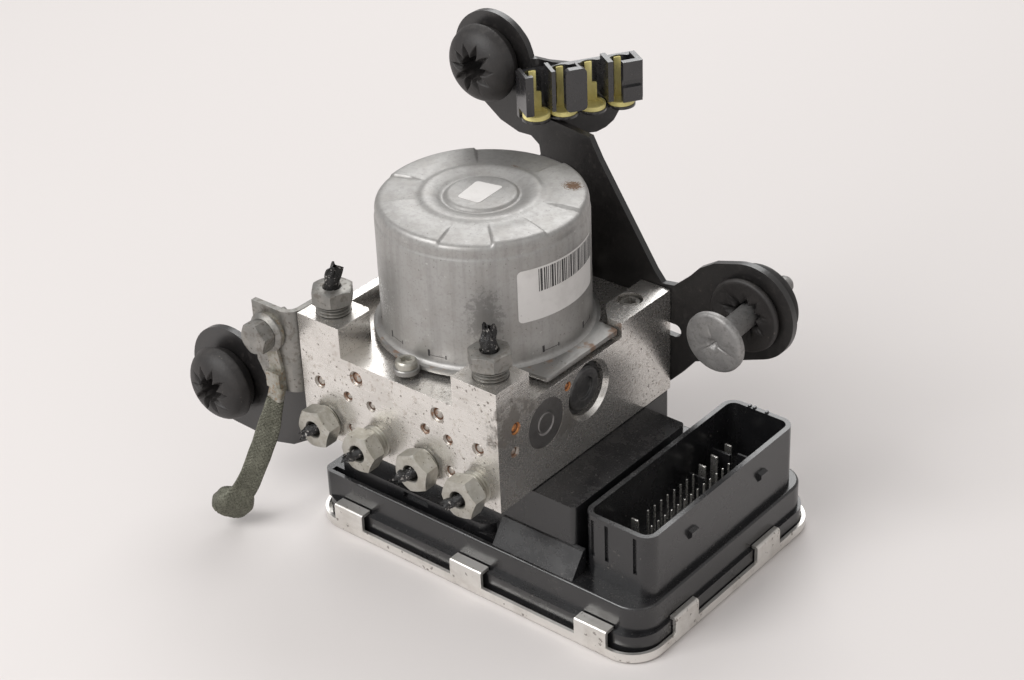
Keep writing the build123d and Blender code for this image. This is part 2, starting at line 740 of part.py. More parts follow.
def housing_shell():
    """The stepped hollow body of the control unit."""
    low = LID_T + 0.9
    x0, x1 = LID_X0 + FLANGE_IN, LID_X1 - FLANGE_IN
    y0, y1 = LID_Y0 + LID_STEP, LID_Y1 - FLANGE_IN
    body = slab(x0, x1, y0, y1, low, FLANGE_TOP, LID_R - FLANGE_IN)
    tier = slab(x0 + TIER_IN_X, x1 - TIER_IN_X, y0 + TIER_IN_Y, y1 - TIER_IN_X, FLANGE_TOP - 1, TIER_TOP,
                LID_R - 2.5)
    tier = fillet(tier.faces().sort_by(Axis.Z)[-1].outer_wire().edges(), 1.0)
    body += tier
    body += slab(x0 + TIER_IN_X, x0 + 20, y0 + TIER_IN_Y, y0 + 22, FLANGE_TOP - 1, TIER_TOP, 3.5)
    body += slab(-BLOCK_X + 0.6, BLOCK_X - 0.1, PED_Y0, BLOCK_BACK - 0.2, TIER_TOP - 1, PED_TOP, 2.0)
    pad = slab(BLOCK_X - 8, PAD_X, PED_Y0, PAD_Y1, TIER_TOP - 1, PAD_TOP, 2.0)
    pad -= box(BLOCK_X - 9, BLOCK_X + 0.4, -60, 60, PED_TOP - 0.01, PAD_TOP + 1)
    body += pad
    return body


def front_ramp(body):
    """The sloped shoulder in front of the pad."""
    face = make_face(Polyline(
        (RAMP_X, PED_Y0 + 1, TIER_TOP - 0.5), (RAMP_X, PED_Y0 + 1, TIER_TOP + 9.0),
        (RAMP_X, PED_Y0 - 0.5, TIER_TOP + 8.4), (RAMP_X, PED_Y0 - 6.6, TIER_TOP),
        (RAMP_X, PED_Y0 - 6.6, TIER_TOP - 0.5), close=True))
    return body + extrude(face, SHROUD_X0 + 0.5 - RAMP_X, dir=(1, 0, 0))


def front_ledge(body):
    """The low step in front of the pedestal with a rounded end."""
    top = TIER_TOP + 3.8
    body += slab(-41.0, 12.0, LEDGE_Y, LEDGE_Y + 12, TIER_TOP - 1, top, 1.5)
    return body + slab(-10.0, LEDGE_END, LEDGE_Y, LEDGE_Y + 16, TIER_TOP - 1, top, 6.0)


def housing_hollow(body):
    """The inside: board bay, coil bay and the open top under the block."""
    t = HOUSING_T
    low = LID_T
    x0, x1 = LID_X0 + FLANGE_IN + TIER_IN_X + t, LID_X1 - FLANGE_IN - TIER_IN_X - t
    y0, y1 = LID_Y0 + LID_STEP + TIER_IN_Y + t, LID_Y1 - FLANGE_IN - TIER_IN_X - t
    body -= slab(x0, x1, y0, y1, low, TIER_TOP - t - 7.0, LID_R - 4.5)
    body -= slab(-BLOCK_X + 0.6 + t, BLOCK_X - 0.1 - t, PED_Y0 + t, BLOCK_BACK - 0.2 - t, low, PED_TOP + 1, 1.0)
    return body


def front_groove(body):
    """The narrow groove between the front lip and the ledge, with a notch in the ledge."""
    body -= box(-44.0, RAMP_X + 2.0, LEDGE_Y - 2.2, LEDGE_Y, TIER_TOP - 5.0, TIER_TOP + 0.5)
    body -= box(-12.0, -1.0, LEDGE_Y - 0.1, LEDGE_Y + 1.2, TIER_TOP + 0.2, TIER_TOP + 2.7)
    return body


def connector(body):
    """The plug shroud with grooves, latches and nibs."""
    body += slab(SHROUD_X0, SHROUD_X1, SHROUD_Y0, SHROUD_Y1, TIER_TOP - 1, SHROUD_TOP, SHROUD_R)
    t = SHROUD_T
    body -= slab(SHROUD_X0 + t, SHROUD_X1 - t, SHROUD_Y0 + t, SHROUD_Y1 - t, SOCKET_FLOOR, SHROUD_TOP + 1,
                 SHROUD_R - t)
    for x in (67.6, 73.2, 84.5):
        body -= box(x - 0.8, x + 0.8, SHROUD_Y0 - 1, SHROUD_Y0 + 0.9, 27.5, SHROUD_TOP - 1.6)
    for y in (-8.0, 32.0):
        wedge = make_face(Polyline(
            (SHROUD_X1 - 0.2, y - 2, 35.4), (SHROUD_X1 + 1.5, y - 2, 34.6), (SHROUD_X1 + 1.5, y - 2, 33.2),
            (SHROUD_X1 - 0.2, y - 2, 31.4), close=True))
        body += extrude(wedge, 4.0, dir=(0, 1, 0))
    for x in (72.0, 74.0, 79.0):
        body += box(x - 0.4, x + 0.4, SHROUD_Y1 - t + 0.2, SHROUD_Y1 - 0.2, SHROUD_TOP - 1, SHROUD_TOP + 0.6)
    return body


BLADE_SPOTS = ((70.2, -11.6), (70.2, 26.8), (70.2, 33.9), (70.2, 42.3))
PIN_ROWS = ((69.9, -4.0, 8), (76.0, -10.2, 13), (80.2, -10.1, 13), (84.4, -10.1, 13))


def socket_walls(body):
    """Low partitions round the wide blades and the floor's pin slots."""
    body += box(66.4, 74.0, 37.6, 38.5, SOCKET_FLOOR - 1, PIN_TIP + 0.5)
    body += box(67.0, 73.4, 23.4, 24.2, SOCKET_FLOOR - 1, PIN_TIP - 1.5)
    body += box(75.5, 86.5, 40.0, 40.9, SOCKET_FLOOR - 1, PIN_TIP + 0.5)
    for x, y, n in PIN_ROWS:
        for k in range(n):
            s = PIN_W / 2
            at = y + k * PIN_PITCH
            body -= box(x - s, x + s, at - s, at + s, 8.0, SOCKET_FLOOR + 1)
    for x, y in BLADE_SPOTS:
        body -= box(x - 1.4, x + 1.4, y - 0.4, y + 0.4, 8.0, SOCKET_FLOOR + 1)
    return body


def ecu_housing():
    """The black moulded housing."""
    body = housing_shell()
    for step in (front_ledge, front_groove, front_ramp, housing_hollow, connector, socket_walls):
        body = step(body)
    for x, y, top in ECU_SCREWS:
        post = rod(x, y, 12.0, PED_TOP, 4.4) - rod(x, y, 24.0, PED_TOP + 1, 2.1)
        body += post
    return body


def connector_pins():
    """Square pins standing on the board."""
    out = []
    s = PIN_W / 2
    for x, y, n in PIN_ROWS:
        for k in range(n):
            at = y + k * PIN_PITCH
            out.append(box(x - s, x + s, at - s, at + s, 7.65, PIN_TIP))
    return out


def connector_blades():
    """Wide supply blades."""
    return [box(x - 1.4, x + 1.4, y - 0.4, y + 0.4, 7.65, PIN_TIP + 1.0) for x, y in BLADE_SPOTS]


def circuit_board():
    """The board above the lid."""
    board = slab(-41.5, 87.0, -33.0, 54.0, 6.0, 7.6, 3.0)
    return board


def board_chips():
    """The larger packages on the board's underside."""
    return [box(-30, -12, -18, 0, 3.0, 5.95), box(2, 20, 10, 28, 3.0, 5.95), box(34, 54, -20, -6, 3.4, 5.95)]


def lid_seal():
    """The gasket between lid and housing."""
    low, high = LID_T, LID_T + 0.9
    x0, x1 = LID_X0 + 2.4, LID_X1 - 2.4
    y0, y1 = LID_Y0 + LID_STEP + 0.8, LID_Y1 - 2.4
    ring = slab(x0, x1, y0, y1, low, high, LID_R - 2.4)
    return ring - slab(x0 + 1.4, x1 - 1.4, y0 + 1.4, y1 - 1.4, low - 1, high + 1, LID_R - 3.8)


def block_seal():
    """The gasket between housing and block."""
    x0, x1, y0, y1 = -BLOCK_X + 0.9, BLOCK_X - 0.4, PED_Y0 + 0.3, BLOCK_BACK - 0.5
    ring = slab(x0, x1, y0, y1, PED_TOP, BLOCK_LOW, 1.8)
    return ring - slab(x0 + 1.4, x1 - 1.4, y0 + 1.4, y1 - 1.4, PED_TOP - 1, BLOCK_LOW + 1, 1.0)


def ecu_screws():
    """Long screws clamping the control unit to the block."""
    out = []
    for x, y, top in ECU_SCREWS:
        head = rod(x, y, top - 3.6, top - 0.9, 4.0) - Pos(x, y, top - 2.4) * hexagon(3.6, 3.0)
        out.append(head + rod(x, y, 26.0, top - 3.6, 2.05))
    return out


# ---- bracket
def eye_tangent(point, centre, radius, side):
    """Where a line from a point touches a circle; side is 1 left of the line to the centre, else -1."""
    dx, dz = centre[0] - point[0], centre[1] - point[1]
    reach = hypot(dx, dz)
    lean = atan2(dz, dx) + side * atan2(radius, (reach**2 - radius**2) ** 0.5)
    run = (reach**2 - radius**2) ** 0.5
    return (point[0] + run * cos(lean), point[1] + run * sin(lean))


def back_outline():
    """The back plate's outline in X and Z, without its eyes."""
    low_right = (53.3, 57.5)
    high_right = (60.6, 98.5)
    left_low = (-30.0, 126.4)
    return [
        (SIDE_MID + 6, ARM_Z0), (30.0, 40.0), (42.3, 45.2), (47.9, 51.0), low_right,
        eye_tangent(low_right, RIGHT_EYE, RIGHT_EYE_R, -1), RIGHT_EYE,
        eye_tangent(high_right, RIGHT_EYE, RIGHT_EYE_R, 1), high_right,
        (54.6, 94.7), (50.6, 90.2), (44.4, 84.6), (39.3, 83.8), (36.0, 87.7), (29.7, 97.3), (21.4, 110.2),
        (13.1, 122.9), (9.0, 130.4), (-4.0, 132.0), (-12.0, 132.6), (-15.8, 133.0), (-15.8, 153.0), (-18.5, 154.2),
        (-29.0, 165.0), TOP_EYE,
        eye_tangent(left_low, TOP_EYE, TOP_EYE_R, 1), left_low, (-22.0, 123.8), (-16.5, 124.0),
        (-13.0, 121.5), (-12.5, 118.0), (-17.0, 110.0), (-30.0, 92.0), (-43.0, 80.0), (SIDE_MID + 6, ARM_Z1)]


def back_plate():
    """The upright plate behind the block with its top and right arms."""
    plate = side_cut(back_outline(), BACK_Y, BACK_Y + SHEET)
    plate += rod_y(TOP_EYE[0], BACK_Y, BACK_Y + SHEET, TOP_EYE[1], TOP_EYE_R)
    plate += rod_y(RIGHT_EYE[0], BACK_Y, BACK_Y + SHEET, RIGHT_EYE[1], RIGHT_EYE_R)
    return plate


def side_arm():
    """The arm from the back plate round the block's left side to the front wing."""
    path = [(SIDE_MID + 16, BACK_MID), (SIDE_MID, BACK_MID), (SIDE_MID, WING_Y), (LEFT_EYE[0], WING_Y)]
    strip = bent_sheet(path, SHEET / 2 + 0.95, ARM_Z0 - 8, ARM_Z1 + 14)
    outline = [
        (LEFT_EYE[0], LEFT_EYE[1] - LEFT_EYE_R), (-63.6, 26.5), (-55.0, 28.8), (-48.4, ARM_Z0 + 3),
        (SIDE_MID - 1.0, ARM_Z0 + 4), (SIDE_MID + 20, ARM_Z0), (SIDE_MID + 20, ARM_Z1),
        (SIDE_MID - 2.0, ARM_Z1), (-62.0, ARM_Z1 + 5), eye_tangent((-62.0, ARM_Z1 + 5), LEFT_EYE, LEFT_EYE_R, -1),
        LEFT_EYE]
    strip = strip & side_cut(outline, -60, 60)
    return strip + rod_y(LEFT_EYE[0], WING_Y - SHEET / 2, WING_Y + SHEET / 2, LEFT_EYE[1], LEFT_EYE_R)


def clip_plane(depth=0.0):
    """The plane facing the clip row's front: X along the row, Y up."""
    ux, uy = cos(radians(CLIP_YAW)), sin(radians(CLIP_YAW))
    at = (CLIP_AT[0] - uy * depth, CLIP_AT[1] + ux * depth, 0)
    return Plane(origin=at, x_dir=(ux, uy, 0), z_dir=(uy, -ux, 0))


def head_wing():
    """The wing folded back behind the pipe clip."""
    ux, uy = cos(radians(CLIP_YAW)), sin(radians(CLIP_YAW))
    depth = CLIP_DEPTH + SHEET / 2
    x0, y0 = CLIP_AT[0] - uy * depth, CLIP_AT[1] + ux * depth
    s = (BACK_MID - y0) / uy
    fold = (x0 + s * ux, BACK_MID)
    end = (x0 + 36.0 * ux, y0 + 36.0 * uy)
    strip = bent_sheet([(fold[0] - 8, BACK_MID), fold, end], 3.0, 118.0, 158.0)
    face = [
        (-8.0, 133.0), (8.0, 133.0), (9.0, 128.3), (16.0, 124.6), (22.0, 122.0), (25.5, 121.8), (29.0, 123.0),
        (32.0, 125.2), (34.5, 129.4), (35.5, 134.0), (35.5, 145.0), (26.0, 146.5), (10.0, 150.9), (5.0, 153.0),
        (-8.0, 153.0)]
    plane = clip_plane()
    flat = make_face(Polyline(*[plane.from_local_coords((a, b, 20.0)) for a, b in face], close=True))
    normal = plane.z_dir
    cutter = extrude(flat, 60.0, dir=(-normal.X, -normal.Y, 0))
    return strip & cutter


def bracket():
    """The bent sheet bracket."""
    sheet = back_plate() + side_arm() + head_wing()
    for (x, z), y in ((TOP_EYE, BACK_Y), (RIGHT_EYE, BACK_Y), (LEFT_EYE, WING_Y - SHEET / 2)):
        sheet -= rod_y(x, y - 1, y + SHEET + 1, z, EYE_BORE)
    for x, z in BRACKET_SCREWS:
        sheet -= rod_y(x, BACK_Y - 1, BACK_Y + SHEET + 1, z, 3.0)
    slot = Pos(42.8, BACK_Y - 1, 66.9) * Rot(-90, 0, 0) * SlotOverall(9.0, 4.9)
    sheet -= extrude(slot, SHEET + 2, dir=(0, 1, 0))
    sheet -= post_hole()
    return sheet


def post_hole():
    """The hole in the wing for the clip's foot."""
    return clip_plane(CLIP_DEPTH - 1) * Pos(15.0, 140.0, 0) * Cylinder(
        2.6, SHEET + 3, align=(Align.CENTER, Align.CENTER, Align.MAX))


def bracket_screws():
    """Screws holding the bracket to the block."""
    out = []
    y = BACK_Y + SHEET
    for x, z in BRACKET_SCREWS:
        head = rod_y(x, y, y + 3.4, z, 4.6) + rod_y(x, BLOCK_BACK - 8.0, y, z, 2.5)
        socket = Pos(x, y + 3.5, z) * Rot(90, 0, 0) * hexagon(4.4, 2.4)
        out.append(head - socket)
    return out


def grommet(centre, front, nose, back_r, back_rim):
    """A rubber isolator along Y: front disc or dome, neck through the sheet and back disc."""
    x, z = centre
    rim = min(5.6, nose - 1.0)
    rise = nose - rim
    back = SHEET + back_rim
    tail = SHEET + RUBBER_TAIL
    profile = [
        (RUBBER_BORE, -nose), (7.0, -rim - rise * 0.92), (10.2, -rim - rise * 0.68), (12.8, -rim - rise * 0.34),
        (RUBBER_R, -rim), (RUBBER_R - 0.4, 1.0 - rim), (EYE_BORE + 1.5, -0.1),
        (EYE_BORE - 0.1, -0.1), (EYE_BORE - 0.1, SHEET + 0.1), (EYE_BORE + 0.8, SHEET + 0.1),
        (back_r - 0.2, back - 1.0), (back_r, back), (back_r - 1.0, back + 1.4), (8.5, tail - 0.5), (RUBBER_BORE, tail)]
    return Pos(x, front, z) * Rot(-90, 0, 0) * lathe(profile)


def pleated_grommet(centre, front):
    """An isolator whose long nose is pleated round its bore."""
    pleats = [Rot(0, 0, 36 * k) * pleat() for k in range(10)]
    turn = Pos(centre[0], front, centre[1]) * Rot(-90, 0, 0)
    return grommet(centre, front, RUBBER_NOSE, BACK_DISC_R, 3.6) - turn * group(pleats)


def pleat():
    """One tapering groove in the front of an isolator."""
    plan = make_face(Polyline(
        (RUBBER_BORE - 1.0, -1.1, -RUBBER_NOSE - 1), (9.0, -0.1, -RUBBER_NOSE - 1), (9.0, 0.1, -RUBBER_NOSE - 1),
        (RUBBER_BORE - 1.0, 1.1, -RUBBER_NOSE - 1), close=True))
    return extrude(plan, 4.6, dir=(0, 0, 1))


BOLT_SHOULDER = 57.5
BOLT_END_R = 3.0


def mounting_bolt():
    """The shouldered bolt in the right isolator."""
    x, z = RIGHT_EYE
    bolt = lathe([
        (0, 26.2), (1.5, 26.2), (1.5, 25.2), (10.6, 25.2), (11.0, 25.6), (11.0, 28.2), (RUBBER_BORE - 0.1, 28.2),
        (RUBBER_BORE - 0.1, BOLT_SHOULDER), (BOLT_END_R, BOLT_SHOULDER), (BOLT_END_R, BOLT_SHOULDER + 12.5),
        (0, BOLT_SHOULDER + 12.5)])
    return Pos(x, 0, z) * Rot(-90, 0, 0) * bolt


# ---- pipe clip
def clip_box(s0, s1, z0, z1, d0, d1):
    """A box in the clip's own frame: along the row, height and depth behind its front."""
    return clip_plane() * box(s0, s1, z0, z1, -d1, -d0)


def clip_rod(s, d, z0, z1, r):
    """An upright cylinder in the clip's own frame."""
    ux, uy = cos(radians(CLIP_YAW)), sin(radians(CLIP_YAW))
    return rod(CLIP_AT[0] + s * ux - d * uy, CLIP_AT[1] + s * uy + d * ux, z0, z1, r)


FIN_LOW = CLIP_Z + 3.8
WALL_D = CLIP_DEPTH - 2.4
FINS = ((6.3, 7.7, 1.6), (17.1, 17.9, 3.2), (26.5, 28.4, 1.6), (37.1, 39.0, 2.6))


def clip_block(s0, s1, depth, z0, z1):
    """A block standing in front of the channels with a rounded top."""
    plan = clip_plane(-depth) * Pos((s0 + s1) / 2, (z0 + z1) / 2, 0) * RectangleRounded(s1 - s0, z1 - z0, 1.8)
    return extrude(plan, depth - 0.2, dir=tuple(-clip_plane().z_dir))


def pipe_clip():
    """The black holder with four upright channels."""
    body = clip_box(-3.2, 39.0, CLIP_Z, CLIP_TOP - 3.5, WALL_D, CLIP_DEPTH)
    for s in CUPS:
        body += clip_rod(s, CUP_D, CLIP_Z, CLIP_Z + 1.0, CUP_R + 0.3)
    for s0, s1, drop in FINS:
        body += clip_box(s0, s1, FIN_LOW, CLIP_TOP - drop, 0.0, WALL_D + 0.5)
    body += clip_box(-3.2, -2.0, FIN_LOW, CLIP_TOP - 2.0, 0.0, WALL_D + 0.5)
    body += clip_box(-3.2, -0.4, FIN_LOW, CLIP_TOP - 2.0, -0.8, 1.0)
    body += clip_block(10.4, 18.0, 2.6, FIN_LOW, CLIP_TOP - 1.0)
    body += clip_box(17.0, 18.0, FIN_LOW + 1, CLIP_TOP - 2.8, -0.4, 1.0)
    for z0, z1, depth in ((FIN_LOW, 142.6, 2.4), (142.4, 145.4, 1.2), (145.2, CLIP_TOP - 1.6, 2.4)):
        body += clip_box(31.0, 38.0, z0, z1, -depth, -0.2)
    body += clip_box(37.1, 38.0, FIN_LOW + 1, CLIP_TOP - 2.6, -1.0, 1.0)
    for s in CUPS:
        body -= clip_rod(s, CUP_D, CLIP_Z + 1.0, CLIP_TOP + 1, CHANNEL_R)
        body -= clip_rod(s, CUP_D, CLIP_Z + 1.0, CLIP_Z + 2.7, CUP_R + 0.05)
    foot = clip_plane(CLIP_DEPTH - 0.5) * Pos(15.0, 140.0, 0) * Cylinder(
        2.3, SHEET + 2.6, align=(Align.CENTER, Align.CENTER, Align.MAX))
    return body + foot


def clip_insert(s):
    """A soft cup with an upright strip at the back of its channel."""
    cup = clip_rod(s, CUP_D, CLIP_Z + 1.05, CLIP_Z + 2.6, CUP_R)
    cup -= clip_rod(s, CUP_D, CLIP_Z + 1.6, CLIP_Z + 4.0, CHANNEL_R - 0.05)
    lining = clip_rod(s, CUP_D, CLIP_Z + 1.3, CLIP_TOP - 4.0, CHANNEL_R - 0.05)
    lining -= clip_rod(s, CUP_D, CLIP_Z + 1.2, CLIP_TOP, CHANNEL_R - 0.75)
    strip = lining & clip_box(s - 1.2, s + 1.2, CLIP_Z, CLIP_TOP, CUP_D, CUP_D + 5)
    step = lining & clip_box(s + 1.1, s + 2.6, CLIP_Z, CLIP_Z + 8.6, CUP_D, CUP_D + 5)
    return cup + strip + step


def clip_inserts():
    """The soft liners of the four channels."""
    return [clip_insert(s) for s in CUPS]


# ---- earth connection
def side_plate():
    """The zinc plate bent off the block's left side to the front."""
    leg_mid = -BLOCK_X - SHEET_GAP - ZINC_T / 2
    leaf_mid = LEAF_FRONT + ZINC_T / 2
    path = FilletPolyline((leg_mid, -34.5), (leg_mid, leaf_mid), (ZINC_X0, leaf_mid), radius=4.5)
    plate = extrude(Pos(0, 0, ZINC_Z0) * trace(path, ZINC_T), ZINC_Z1 - ZINC_Z0)
    corner = [
        (ZINC_X0 - 1, ZINC_Z0 - 1), (ZINC_X0 + 4.3, ZINC_Z0 - 1), (ZINC_X0 + 4.3, ZINC_Z0), (ZINC_X0 + 1.3, ZINC_Z0 + 6.0),
        (ZINC_X0 - 1, ZINC_Z0 + 10.0)]
    plate -= side_cut(corner, -60, -46)
    plate -= rod_y(EARTH_X, -55, -44, EARTH_Z, 3.3)
    y, z = SIDE_SCREW
    return plate - rod_x(-50, -40, y, z, 2.3)


def side_plate_screw():
    """The button screw through the zinc plate."""
    y, z = SIDE_SCREW
    face = -BLOCK_X - SHEET_GAP - ZINC_T
    head = rod_x(face - 2.2, face, y, z, 3.8)
    return head + rod_x(face, -BLOCK_X + 6.0, y, z, 2.0)


LUG_FRONT = LEAF_FRONT - LUG_T - 0.05
LUG_BACK = LEAF_FRONT - 0.05


def ground_lug():
    """The ring terminal and its crimp barrel."""
    eye = rod_y(EARTH_X, LUG_FRONT, LUG_BACK, EARTH_Z, 6.6)
    tongue = side_cut([
        (EARTH_X - 2.9, EARTH_Z - 4), (EARTH_X + 2.9, EARTH_Z - 4), (EARTH_X + 4.5, 67.5), (EARTH_X + 5.0, 63.0),
        (EARTH_X - 1.2, 63.0), (EARTH_X - 1.0, 67.5)],
        LUG_FRONT, LUG_BACK)
    lug = eye + tongue - rod_y(EARTH_X, -56, -48, EARTH_Z, 3.3)
    lug += box(EARTH_X - 1.3, EARTH_X + 4.9, LUG_FRONT - 1.8, LUG_BACK, 58.2, 64.5)
    return lug + crimp()


def strap_side(direction):
    """The braid's wide direction, square to its run."""
    wide = Vector(cos(radians(BRAID_YAW)), sin(radians(BRAID_YAW)), 0)
    return (wide - direction * wide.dot(direction)).normalized()


def crimp():
    """The folded barrel round the braid."""
    start = Vector(*STRAP[0])
    run = (start - Vector(*STRAP[1])).normalized()
    path = Line(start, start + run * 5.4)
    section = Plane(origin=start, x_dir=(1, 0, 0), z_dir=run) * RectangleRounded(CRIMP_W, CRIMP_T, 1.2)
    return sweep(section, path=path)


def ground_bolt():
    """The flanged hexagon bolt."""
    y = LUG_FRONT - 0.05
    flange = Pos(EARTH_X, y, EARTH_Z) * Rot(90, 0, 0) * lathe([(0, 0), (7.2, 0), (7.2, 1.0), (5.6, 2.2), (0, 2.2)])
    head = Pos(EARTH_X, y - 2.0, EARTH_Z) * Rot(90, 0, 0) * Rot(0, 0, 14) * cut_corner(hexagon(10.4, 6.0), 10.4)
    return flange + head + rod_y(EARTH_X, y - 1, -39.5, EARTH_Z, 3.0)


def ground_nut():
    """The weld nut behind the leaf."""
    y = LEAF_FRONT + ZINC_T + 0.05
    nut = Pos(EARTH_X, y + 5.2, EARTH_Z) * Rot(90, 0, 0) * Rot(0, 0, 30) * hexagon(9.6, 5.2)
    return nut - rod_y(EARTH_X, y - 1, y + 7, EARTH_Z, 3.05)


def strap_radii():
    """A bend radius for every corner of the strap's run."""
    radii = []
    for a, b, c in zip(STRAP, STRAP[1:], STRAP[2:]):
        first, second = Vector(*b) - Vector(*a), Vector(*c) - Vector(*b)
        half = radians(first.get_angle(second)) / 2
        radii.append(0.45 * min(first.length, second.length) / tan(half))
    return radii


def ground_strap():
    """The flat braid from the crimp down to its cut end."""
    radii = strap_radii()
    print("strap radii", [round(r, 1) for r in radii])
    path = FilletPolyline(*STRAP, radius=radii)
    print("strap length", round(path.length, 1))
    across = strap_side(path % 0)
    section = Plane(origin=STRAP[0], x_dir=tuple(across), z_dir=path % 0) * RectangleRounded(BRAID_W, BRAID_T, 0.6)
    strap = sweep(section, path=path, transition=Transition.RIGHT)
    print("strap volume share", round(strap.volume / (path.length * section.area), 3))
    return strap


def main():
    """Builds and writes every piece."""
    os.makedirs("parts", exist_ok=True)
    save("valve_block", valve_block())
    save("ball_plugs", ball_plugs())
    save("side_plugs", side_plugs())
    save("motor_can", motor_can())
    save("motor_screws", motor_screws())
    save("motor_end_plate", end_plate())
    save("motor_magnets", magnets())
    save("motor_top_bearing", bearing_ring(117.6, 121.6, 11.9, 2.95))
    save("motor_nose_bearing", bearing_ring(76.5, 80.4, 9.55, SHAFT_R + 0.05))
    save("tail_bearing", bearing_ring(53.6, 56.0, 6.95, 2.95))
    save("brush_holder", brush_holder())
    save("motor_brushes", brushes())
    save("rotor_shaft", rotor_shaft())
    save("armature_core", armature_core())
    save("armature_windings", windings())
    save("commutator", commutator())
    save("eccentric", eccentric())
    save("eccentric_race", race())
    for side, name in ((-1, "left"), (1, "right")):
        save(f"pump_piston_{name}", pump_piston(side))
        save(f"pump_spring_{name}", pump_spring(side))
        save(f"store_piston_{name}", [store_piston(side), store_seal(side)])
        save(f"store_spring_{name}", store_spring(side))
    save("pump_sleeves", [pump_sleeve(-1), pump_sleeve(1)])
    save("pump_plugs", [pump_plug(-1), pump_plug(1)])
    save("store_caps", [store_cap(-1), store_cap(1)])
    save("valve_cartridges", cartridges())
    save("solenoid_coils", coils())
    save("wheel_nuts", wheel_nuts())
    save("master_nuts", master_nuts())
    save("wheel_pipe_ends", wheel_pipes())
    save("master_pipe_ends", master_pipes())
    save("ecu_lid", ecu_lid())
    save("ecu_housing", ecu_housing())
    save("connector_pins", connector_pins())
    save("connector_blades", connector_blades())
    save("circuit_board", circuit_board())
    save("board_chips", board_chips())
    save("lid_seal", lid_seal())
    save("block_seal", block_seal())
    save("ecu_screws", ecu_screws())
    save("bracket", bracket())
    save("bracket_screws", bracket_screws())
    save("grommet_top", pleated_grommet(TOP_EYE, BACK_Y))
    save("grommet_right", grommet(RIGHT_EYE, BACK_Y, 3.2, RIGHT_BACK_R, 5.0))
    save("grommet_left", pleated_grommet(LEFT_EYE, WING_Y - SHEET / 2))
    save("mounting_bolt", mounting_bolt())
    save("pipe_clip", pipe_clip())
    save("clip_inserts", clip_inserts())
    save("side_plate", side_plate())
    save("side_plate_screw", side_plate_screw())
    save("ground_bolt", ground_bolt())
    save("ground_nut", ground_nut())
    save("ground_lug", ground_lug())
    save("ground_strap", ground_strap())


if __name__ == "__main__":
    main()
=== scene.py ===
"""Anti-lock brake modulator on a pale bench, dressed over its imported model.

Pieces are in metres in the model's own frame; helper sizes are in millimetres and scaled by MM.
"""

from math import atan2, ceil, cos, hypot, pi, radians, sin

import bmesh
import bpy
from mathutils import Matrix, Vector, noise


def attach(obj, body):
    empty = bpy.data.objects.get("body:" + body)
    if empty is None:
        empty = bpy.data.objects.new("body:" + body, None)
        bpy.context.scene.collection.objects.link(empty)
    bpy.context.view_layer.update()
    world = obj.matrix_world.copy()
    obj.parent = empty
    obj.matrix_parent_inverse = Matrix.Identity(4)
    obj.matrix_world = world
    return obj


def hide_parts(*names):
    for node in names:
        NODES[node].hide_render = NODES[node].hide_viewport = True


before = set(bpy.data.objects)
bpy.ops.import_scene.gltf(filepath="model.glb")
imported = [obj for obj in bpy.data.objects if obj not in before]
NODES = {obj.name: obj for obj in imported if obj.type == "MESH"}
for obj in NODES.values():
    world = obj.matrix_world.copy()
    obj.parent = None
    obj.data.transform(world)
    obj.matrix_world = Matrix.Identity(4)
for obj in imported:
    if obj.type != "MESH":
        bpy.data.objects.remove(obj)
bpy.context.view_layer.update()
MM = 0.001


# ---------------------------------------------------------------- shader groups
def new_group(name, inputs):
    """A shader group from a vector and named values to a mask, with its input and output nodes."""
    tree = bpy.data.node_groups.new(name, "ShaderNodeTree")
    tree.interface.new_socket(name="Vector", in_out="INPUT", socket_type="NodeSocketVector")
    for label, value in inputs:
        kind = "NodeSocketFloat" if isinstance(value, float) else "NodeSocketVector"
        socket = tree.interface.new_socket(name=label, in_out="INPUT", socket_type=kind)
        socket.default_value = value
    tree.interface.new_socket(name="Mask", in_out="OUTPUT", socket_type="NodeSocketFloat")
    return tree, tree.nodes.new("NodeGroupInput"), tree.nodes.new("NodeGroupOutput")


def add_node(tree, kind, links=None, **settings):
    """One node with its settings, constant inputs and incoming links."""
    node = tree.nodes.new(kind)
    for key, value in settings.items():
        setattr(node, key, value)
    for socket, source in (links or {}).items():
        if isinstance(source, bpy.types.NodeSocket):
            tree.links.new(source, node.inputs[socket])
        else:
            node.inputs[socket].default_value = source
    return node


def ramp(tree, value, low, high, reverse=False):
    """A smooth step of a value between two limits."""
    ends = (1.0, 0.0) if reverse else (0.0, 1.0)
    step = add_node(tree, "ShaderNodeMapRange", {0: value, 1: low, 2: high, 3: ends[0], 4: ends[1]},
                    interpolation_type="SMOOTHSTEP")
    return step.outputs[0]


def figure(tree, operation, *values):
    """The result of a Math node."""
    return add_node(tree, "ShaderNodeMath", dict(enumerate(values)), operation=operation).outputs[0]


def field_of(tree, place, scale, detail, rough=0.5):
    """The value of a noise field."""
    field = add_node(tree, "ShaderNodeTexNoise", {"Vector": place, "Scale": scale, "Detail": detail,
                                                  "Roughness": rough})
    return field.outputs[0]


def cloud_group():
    """Soft irregular patches."""
    tree, here, out = new_group("Patches", (("Scale", 40.0), ("Low", 0.45), ("High", 0.6)))
    place, scale, low, high = here.outputs[:4]
    tree.links.new(ramp(tree, field_of(tree, place, scale, 5.0, 0.62), low, high), out.inputs[0])
    return tree


